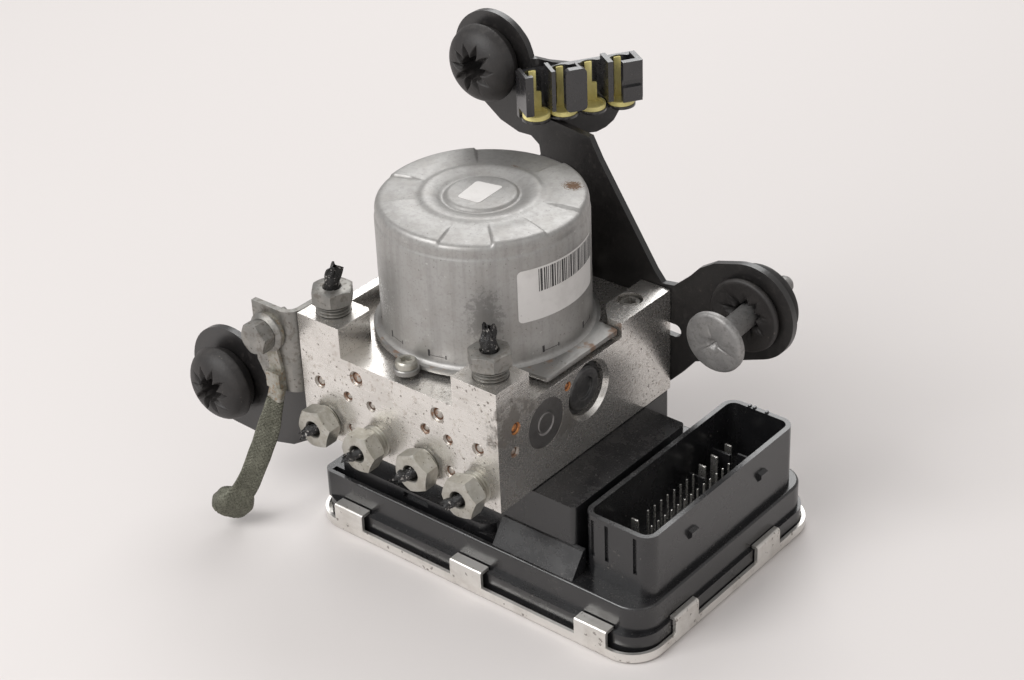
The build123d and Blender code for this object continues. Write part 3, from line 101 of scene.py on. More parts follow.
def speck_group():
    """Irregular specks of uneven size that gather in clusters."""
    tree, here, out = new_group("Specks", (("Scale", 300.0), ("Size", 0.3), ("Share", 0.3)))
    place, scale, size, share = here.outputs[:4]
    finer = figure(tree, "MULTIPLY", scale, 2.2)
    wobble = add_node(tree, "ShaderNodeTexNoise", {"Vector": place, "Scale": finer})
    reach = figure(tree, "DIVIDE", 1.1, scale)
    bend = add_node(tree, "ShaderNodeVectorMath", {0: wobble.outputs[1], "Scale": reach}, operation="SCALE")
    spot = add_node(tree, "ShaderNodeVectorMath", {0: place, 1: bend.outputs[0]}, operation="ADD")
    cell = add_node(tree, "ShaderNodeTexVoronoi", {"Vector": spot.outputs[0], "Scale": scale})
    pick = add_node(tree, "ShaderNodeSeparateColor", {0: cell.outputs["Color"]})
    broad = field_of(tree, place, figure(tree, "MULTIPLY", scale, 0.14), 3.0)
    crowd = add_node(tree, "ShaderNodeMapRange", {0: broad, 1: 0.42, 2: 0.62, 3: 0.1, 4: 1.6})
    quota = figure(tree, "MULTIPLY", crowd.outputs[0], share)
    chosen = figure(tree, "LESS_THAN", pick.outputs[0], quota)
    spread = figure(tree, "POWER", pick.outputs[1], 2.0)
    uneven = add_node(tree, "ShaderNodeMapRange", {0: spread, 3: 0.35, 4: 1.3})
    grow = figure(tree, "MULTIPLY", uneven.outputs[0], size)
    rim = figure(tree, "MULTIPLY", grow, 0.45)
    dot = ramp(tree, cell.outputs["Distance"], rim, grow, True)
    tree.links.new(figure(tree, "MULTIPLY", dot, chosen), out.inputs[0])
    return tree


def streak_group():
    """Long fine lines along the way that is stretched least."""
    tree, here, out = new_group("Streaks", (("Stretch", (1.0, 1.0, 1.0)), ("Low", 0.4), ("High", 0.6)))
    place, stretch, low, high = here.outputs[:4]
    laid = add_node(tree, "ShaderNodeMapping", {"Vector": place, "Scale": stretch})
    tree.links.new(ramp(tree, field_of(tree, laid.outputs[0], 1.0, 4.0, 0.6), low, high), out.inputs[0])
    return tree


def dust_group():
    """Dust lying on upward faces."""
    tree, here, out = new_group("Settled", (("Scale", 200.0), ("Low", 0.5), ("High", 0.7)))
    place, scale, low, high = here.outputs[:4]
    way = add_node(tree, "ShaderNodeNewGeometry")
    split = add_node(tree, "ShaderNodeSeparateXYZ", {0: way.outputs["Normal"]})
    upward = ramp(tree, split.outputs[2], 0.2, 0.9)
    lying = ramp(tree, field_of(tree, place, scale, 6.0, 0.7), low, high)
    tree.links.new(figure(tree, "MULTIPLY", upward, lying), out.inputs[0])
    return tree


def spot_group():
    """A ragged patch round one place."""
    tree, here, out = new_group("Spot", (
        ("Centre", (0.0, 0.0, 0.0)), ("Stretch", (200.0, 200.0, 200.0)), ("Scale", 300.0), ("Ragged", 1.0)))
    place, centre, stretch, scale, ragged = here.outputs[:5]
    away = add_node(tree, "ShaderNodeVectorMath", {0: place, 1: centre}, operation="SUBTRACT")
    laid = add_node(tree, "ShaderNodeVectorMath", {0: away.outputs[0], 1: stretch}, operation="MULTIPLY")
    reach = add_node(tree, "ShaderNodeVectorMath", {0: laid.outputs[0]}, operation="LENGTH")
    field = field_of(tree, place, scale, 5.0, 0.7)
    lift = add_node(tree, "ShaderNodeMapRange", {0: field, 1: 0.3, 2: 0.7, 3: 0.0, 4: 1.0})
    uneven = figure(tree, "MULTIPLY", lift.outputs[0], ragged)
    total = figure(tree, "ADD", reach.outputs["Value"], uneven)
    tree.links.new(ramp(tree, total, 0.8, 1.1, True), out.inputs[0])
    return tree


GROUPS = {
    "patches": cloud_group(),
    "specks": speck_group(),
    "streaks": streak_group(),
    "settled": dust_group(),
    "spot": spot_group(),
}
LAYER_INPUTS = {
    "patches": ("Scale", "Low", "High"),
    "specks": ("Scale", "Size", "Share"),
    "streaks": ("Stretch", "Low", "High"),
    "settled": ("Scale", "Low", "High"),
    "spot": ("Centre", "Stretch", "Scale", "Ragged"),
}


def finish_of(name, colour, metal, rough, layers=(), grain=(), coat=0.0, level=0.5):
    """A surface finish: a base, coloured layers laid over it in turn, and fine relief.

    A layer is (kind, group values, colour, roughness, strength); a relief is (kind, values, depth in mm).
    """
    finish = bpy.data.materials.new(name)
    finish.use_nodes = True
    tree = finish.node_tree
    shader = tree.nodes["Principled BSDF"]
    shader.inputs["Metallic"].default_value = metal
    shader.inputs["Coat Weight"].default_value = coat
    shader.inputs["Coat Roughness"].default_value = 0.25
    shader.inputs["Specular IOR Level"].default_value = level
    place = add_node(tree, "ShaderNodeTexCoord").outputs["Object"]
    tint, gloss = (*colour, 1.0), rough
    for kind, values, over, over_rough, strength in layers:
        part = figure(tree, "MULTIPLY", placed(tree, kind, values, place), strength)
        mix = add_node(tree, "ShaderNodeMix", {0: part, 6: tint, 7: (*over, 1.0)}, data_type="RGBA")
        tint = mix.outputs[2]
        blend = add_node(tree, "ShaderNodeMix", {0: part, 2: gloss, 3: over_rough}, data_type="FLOAT")
        gloss = blend.outputs[0]
    for socket, value in (("Base Color", tint), ("Roughness", gloss)):
        if isinstance(value, bpy.types.NodeSocket):
            tree.links.new(value, shader.inputs[socket])
        else:
            shader.inputs[socket].default_value = value
    relief = None
    for kind, values, depth in grain:
        height = placed(tree, kind, values, place)
        bump = add_node(tree, "ShaderNodeBump", {"Height": height, "Distance": depth * MM, "Strength": 1.0})
        if relief:
            tree.links.new(relief, bump.inputs["Normal"])
        relief = bump.outputs[0]
    if relief:
        tree.links.new(relief, shader.inputs["Normal"])
    return finish


def placed(tree, kind, values, place):
    """A shared effect in a material with its own values; its mask."""
    node = add_node(tree, "ShaderNodeGroup", node_tree=GROUPS[kind])
    tree.links.new(place, node.inputs["Vector"])
    for label, value in zip(LAYER_INPUTS[kind], values):
        node.inputs[label].default_value = value
    return node.outputs["Mask"]


# ---------------------------------------------------------------- finishes
milled = finish_of(
    "milled aluminium", (0.76, 0.735, 0.70), 0.88, 0.25,
    [
        ("patches", (60.0, 0.45, 0.7), (0.62, 0.595, 0.56), 0.36, 0.6),
        ("streaks", ((60.0, 60.0, 1400.0), 0.4, 0.65), (0.84, 0.82, 0.79), 0.22, 0.35),
        ("patches", (24.0, 0.52, 0.72), (0.47, 0.44, 0.40), 0.42, 0.4),
        # The next two spots darken the block's right face towards its front: painted dark reflection of the
        # brushed face, together with oil staining.
        ("spot", ((0.0435, -0.040, 0.074), (110.0, 55.0, 75.0), 160.0, 0.8), (0.16, 0.145, 0.13), 0.5, 0.75),
        ("spot", ((0.0435, -0.012, 0.060), (110.0, 60.0, 110.0), 220.0, 0.9), (0.24, 0.22, 0.20), 0.45, 0.6),
        ("patches", (420.0, 0.55, 0.70), (0.40, 0.34, 0.28), 0.5, 0.45),
        ("specks", (800.0, 0.36, 0.35), (0.15, 0.12, 0.10), 0.7, 0.75),
        ("specks", (1900.0, 0.45, 0.35), (0.22, 0.18, 0.15), 0.7, 0.7),
        ("settled", (300.0, 0.5, 0.75), (0.35, 0.33, 0.31), 0.8, 0.3),
    ],
    [
        ("streaks", ((90.0, 90.0, 2600.0), 0.3, 0.7), 0.012),
        ("specks", (800.0, 0.36, 0.35), -0.03),
    ])
galvanised = finish_of(
    "galvanised can", (0.385, 0.378, 0.366), 0.72, 0.46,
    [
        ("patches", (45.0, 0.4, 0.7), (0.43, 0.425, 0.415), 0.42, 0.4),
        ("patches", (130.0, 0.45, 0.62), (0.33, 0.315, 0.295), 0.5, 0.4),
        ("streaks", ((420.0, 420.0, 14.0), 0.46, 0.62), (0.29, 0.28, 0.27), 0.5, 0.35),
        ("patches", (900.0, 0.50, 0.66), (0.30, 0.29, 0.28), 0.52, 0.45),
        ("specks", (700.0, 0.3, 0.12), (0.62, 0.62, 0.60), 0.6, 0.6),
        ("specks", (1200.0, 0.34, 0.25), (0.14, 0.13, 0.12), 0.6, 0.5),
        ("settled", (240.0, 0.42, 0.8), (0.40, 0.385, 0.37), 0.7, 0.25),
        ("spot", ((0.0229, -0.0273, 0.099), (110.0, 110.0, 60.0), 500.0, 0.8), (0.17, 0.165, 0.16), 0.5, 0.5),
        ("spot", ((-0.0220, -0.0281, 0.094), (55.0, 55.0, 60.0), 1300.0, 1.9), (0.80, 0.80, 0.79), 0.6, 0.9),
        ("spot", ((0.0216, 0.021, 0.1262), (190.0, 190.0, 90.0), 1500.0, 0.9), (0.17, 0.095, 0.05), 0.8, 0.9),
        ("spot", ((-0.003, 0.021, 0.1266), (350.0, 700.0, 90.0), 1500.0, 0.9), (0.20, 0.14, 0.10), 0.8, 0.7),
    ],
    [("patches", (700.0, 0.35, 0.65), 0.012)])
flange_steel = finish_of(
    "flange steel", (0.29, 0.285, 0.275), 0.8, 0.40,
    [
        ("patches", (60.0, 0.45, 0.65), (0.30, 0.28, 0.26), 0.55, 0.6),
        ("patches", (150.0, 0.56, 0.66), (0.30, 0.15, 0.07), 0.8, 0.55),
        ("specks", (700.0, 0.35, 0.3), (0.12, 0.10, 0.09), 0.7, 0.6),
    ],
    [("patches", (500.0, 0.35, 0.65), 0.03)])
moulded = finish_of(
    "black moulded housing", (0.0105, 0.0105, 0.0115), 0.0, 0.22,
    [
        ("patches", (50.0, 0.4, 0.7), (0.017, 0.0165, 0.0175), 0.34, 0.7),
        ("settled", (160.0, 0.45, 0.75), (0.045, 0.042, 0.040), 0.55, 0.35),
        ("settled", (1200.0, 0.6, 0.68), (0.20, 0.18, 0.16), 0.8, 0.4),
        ("specks", (700.0, 0.24, 0.12), (0.18, 0.16, 0.14), 0.8, 0.5),
    ],
    [("patches", (2200.0, 0.3, 0.7), 0.005)], level=0.8)
lid_metal = finish_of(
    "lid aluminium", (0.80, 0.78, 0.745), 0.85, 0.32,
    [
        ("patches", (70.0, 0.45, 0.65), (0.58, 0.55, 0.51), 0.5, 0.6),
        ("specks", (500.0, 0.34, 0.35), (0.16, 0.13, 0.11), 0.7, 0.7),
        ("streaks", ((40.0, 900.0, 900.0), 0.5, 0.7), (0.84, 0.82, 0.79), 0.25, 0.3),
    ],
    [("patches", (700.0, 0.35, 0.65), 0.02)])
zinc_bright = finish_of(
    "bright zinc plate", (0.47, 0.455, 0.41), 0.85, 0.34,
    [
        ("patches", (220.0, 0.42, 0.62), (0.36, 0.34, 0.29), 0.46, 0.6),
        ("patches", (520.0, 0.5, 0.64), (0.56, 0.555, 0.52), 0.5, 0.5),
        ("specks", (900.0, 0.36, 0.4), (0.13, 0.11, 0.09), 0.7, 0.7),
    ],
    [("patches", (900.0, 0.35, 0.65), 0.03)])
zinc_dull = finish_of(
    "dull zinc plate", (0.25, 0.245, 0.23), 0.8, 0.42,
    [
        ("patches", (200.0, 0.42, 0.62), (0.34, 0.325, 0.30), 0.48, 0.6),
        ("patches", (420.0, 0.5, 0.64), (0.17, 0.15, 0.13), 0.6, 0.6),
        ("specks", (1000.0, 0.36, 0.4), (0.09, 0.07, 0.06), 0.7, 0.7),
    ],
    [("patches", (900.0, 0.35, 0.65), 0.03)])
phosphate = finish_of(
    "grey phosphated bolt", (0.26, 0.255, 0.25), 0.6, 0.5,
    [
        ("patches", (160.0, 0.4, 0.62), (0.36, 0.35, 0.34), 0.48, 0.6),
        ("patches", (700.0, 0.5, 0.64), (0.17, 0.16, 0.155), 0.6, 0.5),
    ],
    [("patches", (1400.0, 0.35, 0.65), 0.02)])
coated = finish_of(
    "black coated sheet", (0.013, 0.012, 0.012), 0.0, 0.30,
    [
        ("patches", (40.0, 0.4, 0.7), (0.022, 0.020, 0.019), 0.40, 0.7),
        ("patches", (500.0, 0.52, 0.66), (0.040, 0.035, 0.032), 0.55, 0.4),
        ("specks", (900.0, 0.25, 0.14), (0.14, 0.12, 0.10), 0.8, 0.5),
    ],
    [("patches", (1500.0, 0.3, 0.7), 0.015)], level=0.75)
rubber = finish_of(
    "black rubber", (0.018, 0.016, 0.0155), 0.0, 0.50,
    [
        ("patches", (90.0, 0.42, 0.66), (0.036, 0.032, 0.030), 0.62, 0.7),
        ("settled", (500.0, 0.45, 0.7), (0.070, 0.064, 0.059), 0.75, 0.4),
        ("specks", (900.0, 0.25, 0.14), (0.17, 0.15, 0.13), 0.85, 0.5),
    ],
    [("patches", (1300.0, 0.3, 0.7), 0.03)])
clip_black = finish_of(
    "black clip plastic", (0.015, 0.0145, 0.016), 0.0, 0.24,
    [
        ("patches", (120.0, 0.42, 0.66), (0.030, 0.028, 0.028), 0.36, 0.6),
        ("specks", (900.0, 0.25, 0.16), (0.20, 0.18, 0.16), 0.8, 0.5),
    ],
    [("patches", (1500.0, 0.3, 0.7), 0.010)], level=0.9)
liner = finish_of(
    "pale yellow liner", (0.84, 0.74, 0.30), 0.0, 0.42,
    [
        ("patches", (180.0, 0.42, 0.66), (0.70, 0.60, 0.21), 0.5, 0.6),
        ("specks", (900.0, 0.3, 0.2), (0.24, 0.18, 0.07), 0.8, 0.5),
    ],
    [("patches", (1500.0, 0.3, 0.7), 0.015)])
braid = finish_of(
    "tarnished braid", (0.14, 0.14, 0.108), 0.5, 0.52,
    [
        ("patches", (260.0, 0.42, 0.62), (0.21, 0.21, 0.165), 0.52, 0.7),
        ("patches", (1800.0, 0.48, 0.6), (0.055, 0.055, 0.040), 0.7, 0.7),
    ],
    [("patches", (2500.0, 0.35, 0.65), 0.03)])
torn_pipe = finish_of(
    "torn coated pipe", (0.009, 0.0085, 0.0085), 0.1, 0.18,
    [
        ("patches", (700.0, 0.60, 0.63), (0.36, 0.34, 0.32), 0.3, 0.9),
    ],
    [("patches", (1400.0, 0.3, 0.7), 0.12)])
tinned = finish_of(
    "tinned contacts", (0.84, 0.82, 0.78), 0.9, 0.26,
    [("patches", (600.0, 0.45, 0.62), (0.44, 0.42, 0.38), 0.45, 0.6)],
    [("patches", (1500.0, 0.35, 0.65), 0.01)])
crimp_tin = finish_of(
    "corroded tinned lug", (0.40, 0.39, 0.35), 0.75, 0.42,
    [
        ("patches", (260.0, 0.42, 0.60), (0.24, 0.225, 0.18), 0.55, 0.75),
        ("patches", (700.0, 0.52, 0.64), (0.30, 0.20, 0.12), 0.7, 0.6),
        ("specks", (1200.0, 0.36, 0.4), (0.09, 0.08, 0.07), 0.7, 0.7),
    ],
    [("patches", (500.0, 0.35, 0.65), 0.10)])
cap_alu = finish_of(
    "stained cap", (0.26, 0.25, 0.245), 0.8, 0.30,
    [
        ("patches", (160.0, 0.42, 0.62), (0.17, 0.16, 0.155), 0.4, 0.7),
        ("specks", (1100.0, 0.36, 0.3), (0.09, 0.08, 0.07), 0.6, 0.6),
    ],
    [("patches", (900.0, 0.35, 0.65), 0.01)])
rust_ring = finish_of(
    "rusted crimp ring", (0.13, 0.06, 0.03), 0.2, 0.75,
    [("patches", (900.0, 0.45, 0.6), (0.055, 0.035, 0.025), 0.8, 0.8)],
    [("patches", (1500.0, 0.35, 0.65), 0.03)])
dark_steel = finish_of(
    "dark machined steel", (0.10, 0.10, 0.10), 0.8, 0.38,
    [
        ("patches", (220.0, 0.45, 0.64), (0.20, 0.195, 0.19), 0.42, 0.6),
        ("specks", (900.0, 0.3, 0.25), (0.30, 0.28, 0.26), 0.5, 0.5),
    ],
    [("patches", (900.0, 0.35, 0.65), 0.02)])
turned_steel = finish_of(
    "turned steel", (0.52, 0.51, 0.49), 0.9, 0.32,
    [
        ("patches", (300.0, 0.45, 0.64), (0.40, 0.385, 0.36), 0.42, 0.6),
        ("specks", (900.0, 0.3, 0.25), (0.16, 0.13, 0.10), 0.6, 0.6),
    ],
    [("patches", (1200.0, 0.35, 0.65), 0.02)])
plug_steel = finish_of(
    "rust-stained plug", (0.44, 0.41, 0.375), 0.8, 0.38,
    [
        ("patches", (420.0, 0.52, 0.62), (0.30, 0.15, 0.08), 0.7, 0.75),
        ("specks", (1200.0, 0.4, 0.4), (0.10, 0.07, 0.05), 0.7, 0.7),
    ],
    [("patches", (1200.0, 0.35, 0.65), 0.02)])
copper_plug = finish_of(
    "copper-toned plug", (0.60, 0.27, 0.10), 0.85, 0.36,
    [("patches", (600.0, 0.42, 0.6), (0.34, 0.15, 0.07), 0.55, 0.7)],
    [("patches", (1200.0, 0.35, 0.65), 0.02)])
copper = finish_of(
    "enamelled copper", (0.50, 0.20, 0.08), 0.8, 0.35,
    [("streaks", ((900.0, 900.0, 60.0), 0.4, 0.6), (0.30, 0.11, 0.05), 0.45, 0.7)],
    [("streaks", ((900.0, 900.0, 60.0), 0.4, 0.6), 0.05)])
sintered = finish_of(
    "sintered dark", (0.05, 0.05, 0.052), 0.1, 0.6,
    [("patches", (400.0, 0.42, 0.6), (0.085, 0.082, 0.08), 0.7, 0.7)],
    [("patches", (1400.0, 0.3, 0.7), 0.04)])
board = finish_of(
    "lacquered board", (0.02, 0.13, 0.06), 0.0, 0.3,
    [("patches", (350.0, 0.5, 0.56), (0.03, 0.18, 0.08), 0.35, 0.7)],
    [("patches", (350.0, 0.5, 0.56), 0.03)], coat=0.3)
brown = finish_of(
    "brown moulding", (0.10, 0.055, 0.03), 0.0, 0.45,
    [("patches", (200.0, 0.42, 0.6), (0.14, 0.08, 0.045), 0.5, 0.6)],
    [("patches", (1400.0, 0.3, 0.7), 0.02)])
paper = finish_of(
    "white label", (0.70, 0.68, 0.66), 0.0, 0.45,
    [
        ("patches", (120.0, 0.45, 0.7), (0.58, 0.56, 0.54), 0.55, 0.6),
        ("specks", (900.0, 0.22, 0.12), (0.30, 0.28, 0.26), 0.7, 0.5),
    ],
    [("patches", (900.0, 0.35, 0.65), 0.008)])
# Near-black print for the label bars; the same colour is painted shade in the stake marks.
ink_and_painted_shade = finish_of(
    "label ink", (0.035, 0.033, 0.034), 0.0, 0.5,
    [("patches", (900.0, 0.5, 0.62), (0.10, 0.095, 0.09), 0.55, 0.6)],
    [("patches", (900.0, 0.35, 0.65), 0.004)])

NODES_BY_FINISH = (
    (milled, "valve_block store_piston_left store_piston_right"),
    (plug_steel, "ball_plugs"),
    (copper_plug, "side_plugs"),
    (galvanised, "motor_can"),
    (zinc_bright, "motor_screws wheel_nuts"),
    (zinc_dull, "master_nuts ecu_screws bracket_screws side_plate side_plate_screw ground_bolt ground_nut"),
    (turned_steel, "motor_end_plate motor_top_bearing motor_nose_bearing tail_bearing rotor_shaft eccentric"),
    (turned_steel, "eccentric_race pump_piston_left pump_piston_right pump_spring_left pump_spring_right"),
    (turned_steel, "store_spring_left store_spring_right pump_sleeves valve_cartridges"),
    (sintered, "motor_magnets motor_brushes armature_core solenoid_coils board_chips"),
    (brown, "brush_holder"),
    (copper, "armature_windings commutator"),
    (dark_steel, "pump_plugs"),
    (cap_alu, "store_caps"),
    (torn_pipe, "wheel_pipe_ends master_pipe_ends"),
    (lid_metal, "ecu_lid"),
    (moulded, "ecu_housing"),
    (tinned, "connector_pins connector_blades"),
    (board, "circuit_board"),
    (rubber, "lid_seal block_seal grommet_top grommet_right grommet_left"),
    (coated, "bracket"),
    (phosphate, "mounting_bolt"),
    (clip_black, "pipe_clip"),
    (liner, "clip_inserts"),
    (crimp_tin, "ground_lug"),
    (braid, "ground_strap"),
)
CAD_FINISH = {name: finish for finish, names in NODES_BY_FINISH for name in names.split()}
PLAIN_EDGE = 0.1
CAD_EDGE = {
    "valve_block": 0.30, "ecu_housing": 0.35, "ecu_lid": 0.25, "bracket": 0.35, "pipe_clip": 0.3,
    "clip_inserts": 0.15, "side_plate": 0.35, "connector_pins": 0.14, "connector_blades": 0.2,
    "ground_lug": 0.2, "ball_plugs": 0.12, "side_plugs": 0.12, "pump_plugs": 0.2, "store_caps": 0.2,
    "ecu_screws": 0.25, "motor_screws": 0.25, "side_plate_screw": 0.3, "ground_nut": 0.25,
    "bracket_screws": 0.25,
}


def dress_nodes():
    """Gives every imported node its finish, welded facets and eased edges."""
    for name, node in NODES.items():
        node.data.materials.clear()
        node.data.materials.append(CAD_FINISH[name])
        for face in node.data.polygons:
            face.use_smooth = True
        weld = node.modifiers.new("weld", "WELD")
        weld.merge_threshold = 2e-6
        flat = node.modifiers.new("flat faces", "DECIMATE")
        flat.decimate_type = "DISSOLVE"
        flat.angle_limit = radians(0.6)
        ease = node.modifiers.new("eased edges", "BEVEL")
        ease.width = CAD_EDGE.get(name, PLAIN_EDGE) * MM
        ease.segments = 2
        ease.limit_method = "ANGLE"
        ease.angle_limit = radians(32)
        ease.use_clamp_overlap = True
        shade = node.modifiers.new("even shading", "WEIGHTED_NORMAL")
        shade.mode = "FACE_AREA"
        shade.weight = 60


# ---------------------------------------------------------------- mesh helpers
def keep(name, bm, finish, stands_for=(), sharp=34.0):
    """Turns a working mesh into a finished piece that rides on the unit."""
    bmesh.ops.remove_doubles(bm, verts=bm.verts, dist=1e-6)
    bmesh.ops.dissolve_degenerate(bm, edges=bm.edges, dist=1e-7)
    bmesh.ops.recalc_face_normals(bm, faces=bm.faces)
    mesh = bpy.data.meshes.new(name)
    bm.to_mesh(mesh)
    bm.free()
    mesh.shade_smooth()
    mesh.set_sharp_from_angle(angle=radians(sharp))
    mesh.materials.append(finish)
    piece = bpy.data.objects.new(name, mesh)
    bpy.context.scene.collection.objects.link(piece)
    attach(piece, "unit")
    if stands_for:
        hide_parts(*stands_for)
    return piece


def turned(profile, steps=96, closed=True):
    """A shape spun about Z from (radius, height) points in millimetres."""
    bm = bmesh.new()
    ring = [bm.verts.new((r * MM, 0, z * MM)) for r, z in profile]
    pairs = list(zip(ring, ring[1:]))
    if closed:
        pairs.append((ring[-1], ring[0]))
    edges = [bm.edges.new(pair) for pair in pairs]
    bmesh.ops.spin(bm, geom=ring + edges, cent=(0, 0, 0), axis=(0, 0, 1), angle=2 * pi, steps=steps,
                   use_merge=True)
    bmesh.ops.remove_doubles(bm, verts=bm.verts, dist=1e-7)
    bmesh.ops.dissolve_degenerate(bm, edges=bm.edges, dist=1e-8)
    return bm


def slabbed(outline, low, high, ease=0.0):
    """An upright plate from an outline of (x, y) points in millimetres."""
    bm = bmesh.new()
    face = bm.faces.new([bm.verts.new((x * MM, y * MM, low * MM)) for x, y in outline])
    rise = bmesh.ops.extrude_face_region(bm, geom=[face])
    top = [v for v in rise["geom"] if isinstance(v, bmesh.types.BMVert)]
    bmesh.ops.translate(bm, verts=top, vec=(0, 0, (high - low) * MM))
    if ease:
        soften(bm, ease)
    return bm


def soften(bm, ease):
    """Rounds the edges of a working mesh that turn by more than 30 degrees."""
    bmesh.ops.recalc_face_normals(bm, faces=bm.faces)
    sharp = [e for e in bm.edges if len(e.link_faces) == 2 and e.calc_face_angle(0) > radians(30.0)]
    bmesh.ops.bevel(bm, geom=sharp, offset=ease * MM, offset_type="OFFSET", segments=2, profile=0.5,
                    affect="EDGES", material=-1, clamp_overlap=True)


def gather(*shapes):
    """Several working meshes as one."""
    whole = bmesh.new()
    for bm in shapes:
        part = bpy.data.meshes.new("part")
        bm.to_mesh(part)
        bm.free()
        whole.from_mesh(part)
        bpy.data.meshes.remove(part)
    return whole


def moved(bm, matrix):
    """The same working mesh, moved."""
    bmesh.ops.transform(bm, matrix=matrix, verts=bm.verts)
    return bm


def facing(x, y, z, way, twist=0.0):
    """A placement at a point in millimetres whose Z looks along a direction."""
    turn = Vector(way).to_track_quat("Z", "Y").to_matrix().to_4x4()
    return Matrix.Translation((x * MM, y * MM, z * MM)) @ turn @ Matrix.Rotation(radians(twist), 4, "Z")


PITCH = 1.25
THREAD_DEEP = 0.8
CHAMFER = 0.55


def hex_nut(across, height, bore, thread_r=0.0, thread=0.0):
    """A chamfered hexagon from 0 to height, with thread rings below it."""
    corner = across / 2 / cos(pi / 6)
    rim = across / 2 * 0.97
    profile = [(bore, height - 0.4), (bore + 0.4, height), (rim, height), (corner, height), (corner, 0.0),
               (rim, 0.0)]
    if thread:
        turns = int(ceil(thread / PITCH))
        root = thread_r - THREAD_DEEP
        profile += [(root, -0.05)]
        for k in range(turns):
            low = -PITCH * k
            profile += [(root, low - 0.25), (thread_r, low - 0.65), (thread_r, low - 0.85), (root, low - 1.2)]
        profile += [(bore, -PITCH * turns - 0.2)]
    else:
        profile += [(bore, 0.0)]
    bm = turned(profile, 72)
    for v in bm.verts:
        r = hypot(v.co.x, v.co.y) / MM
        if r > rim + 0.02 and v.co.z > -0.01 * MM:
            angle = atan2(v.co.y, v.co.x) % (pi / 3) - pi / 6
            reach = across / 2 / cos(angle)
            v.co.x *= reach / r
            v.co.y *= reach / r
            drop = max(0.0, reach - rim) * CHAMFER
            v.co.z += -drop * MM if v.co.z > height * MM / 2 else drop * MM
    return bm


def torx_head(profile, recess):
    """A turned head whose vertices within the recess's radius are drawn into six lobes."""
    bm = turned(profile, 72)
    for v in bm.verts:
        r = hypot(v.co.x, v.co.y) / MM
        if 1e-4 < r <= recess + 0.01:
            lobe = 1.0 + 0.14 * cos(6 * atan2(v.co.y, v.co.x))
            v.co.x *= lobe
            v.co.y *= lobe
    return bm


# ---------------------------------------------------------------- pump motor
CAN_R = 35.7
CAN_TOP = 127.0
SECTORS = ((16, 77), (-45, -13), (-135, -73), (133, 192))
SECTOR_LIFT = 0.8
CREASE = 1.3
FLANGE_LOW = 78.72
FLANGE_TOP = 80.5
FLANGE_R = 38.4
EAR_R = 41.2
EAR_ANGLES = (-90, 80, 125)
STAKE_ANGLES = (-135, -106, -77, -46, -14, 18, 50, 82, 114, 146, 178)
STAKE_Z = 84.2
# Painted shade of the stake marks: strips as (width, height, sideways offset, rise) in mm.
STAKE_SHADE_STRIPS = ((0.75, 2.4, -3.1, 0.2), (0.4, 1.3, 3.1, -0.3), (5.4, 0.1, 0.0, -0.5))
LABEL = (37.0, 19.0, 1.6)
LABEL_R = 35.80
LABEL_TURN = radians(-3.0)
LABEL_Z = 105.7
BAR_R = 35.83
BAR_Z = 110.4
BAR_TALL = 8.2
BAR_WIDTHS = (0.30, 0.55, 0.30, 0.85, 0.42)
BAR_GAPS = (0.35, 0.5, 0.3)


def smooth_step(value, low, high):
    """A smooth rise from 0 to 1 between two limits."""
    share = min(1.0, max(0.0, (value - low) / (high - low)))
    return share * share * (3 - 2 * share)


def motor_shell():
    """The drawn can: foot radius, wall, shoulder, stamped end with raised sectors and centre boss."""
    z = CAN_TOP
    wall = [(34.0, 80.2), (37.2, 80.45), (36.2, 80.9), (35.75, 81.6), (CAN_R, 82.6), (CAN_R, 95.0),
            (CAN_R, 108.0), (CAN_R, z - 6.9)]
    shoulder = [(35.5, z - 6.4), (35.3, z - 6.0), (35.26, z - 5.6), (35.38, z - 4.6), (35.38, z - 3.6),
                (35.25, z - 2.9), (35.0, z - 2.3), (34.6, z - 1.95), (34.0, z - 1.7), (33.2, z - 1.55),
                (32.2, z - 1.45)]
    plate = [(31.0, z - 1.35), (30.0, z - 1.27), (28.0, z - 1.1), (26.0, z - 0.95), (24.0, z - 0.8),
             (22.6, z - 0.7), (21.6, z - 0.6), (20.8, z - 0.42), (20.0, z - 0.16), (19.2, z),
             (18.4, z - 0.02), (17.4, z - 0.12), (16.0, z - 0.4), (14.8, z - 0.75), (14.0, z - 1.1),
             (13.4, z - 1.35), (12.8, z - 1.4)]
    boss = [(12.3, z - 1.15), (11.9, z - 0.75), (11.4, z - 0.5), (10.6, z - 0.4), (4.0, z - 0.32),
            (0.0, z - 0.3)]
    profile = wall + shoulder + plate + boss
    bm = turned(profile, 400, closed=False)
    for v in bm.verts:
        r = hypot(v.co.x, v.co.y) / MM
        angle = atan2(v.co.y, v.co.x) * 180 / pi
        if r > 20.4 and v.co.z > (z - 4.4) * MM:
            high = 0.0
            for start, end in SECTORS:
                at = (angle - start) % 360
                fall = smooth_step(at, end - start - CREASE, end - start)
                high += smooth_step(at, 0.0, CREASE) * (1 - fall)
            v.co.z += SECTOR_LIFT * high * smooth_step(r, 20.5, 29.0) * (1 - smooth_step(r, 34.3, 35.35)) * MM
        wave = noise.noise(Vector((v.co.x, v.co.y, v.co.z)) * 26)
        v.co += Vector((v.co.x, v.co.y, 0)) * wave * 0.0016
    return keep("motor_shell", bm, galvanised, ["motor_can"], sharp=50)


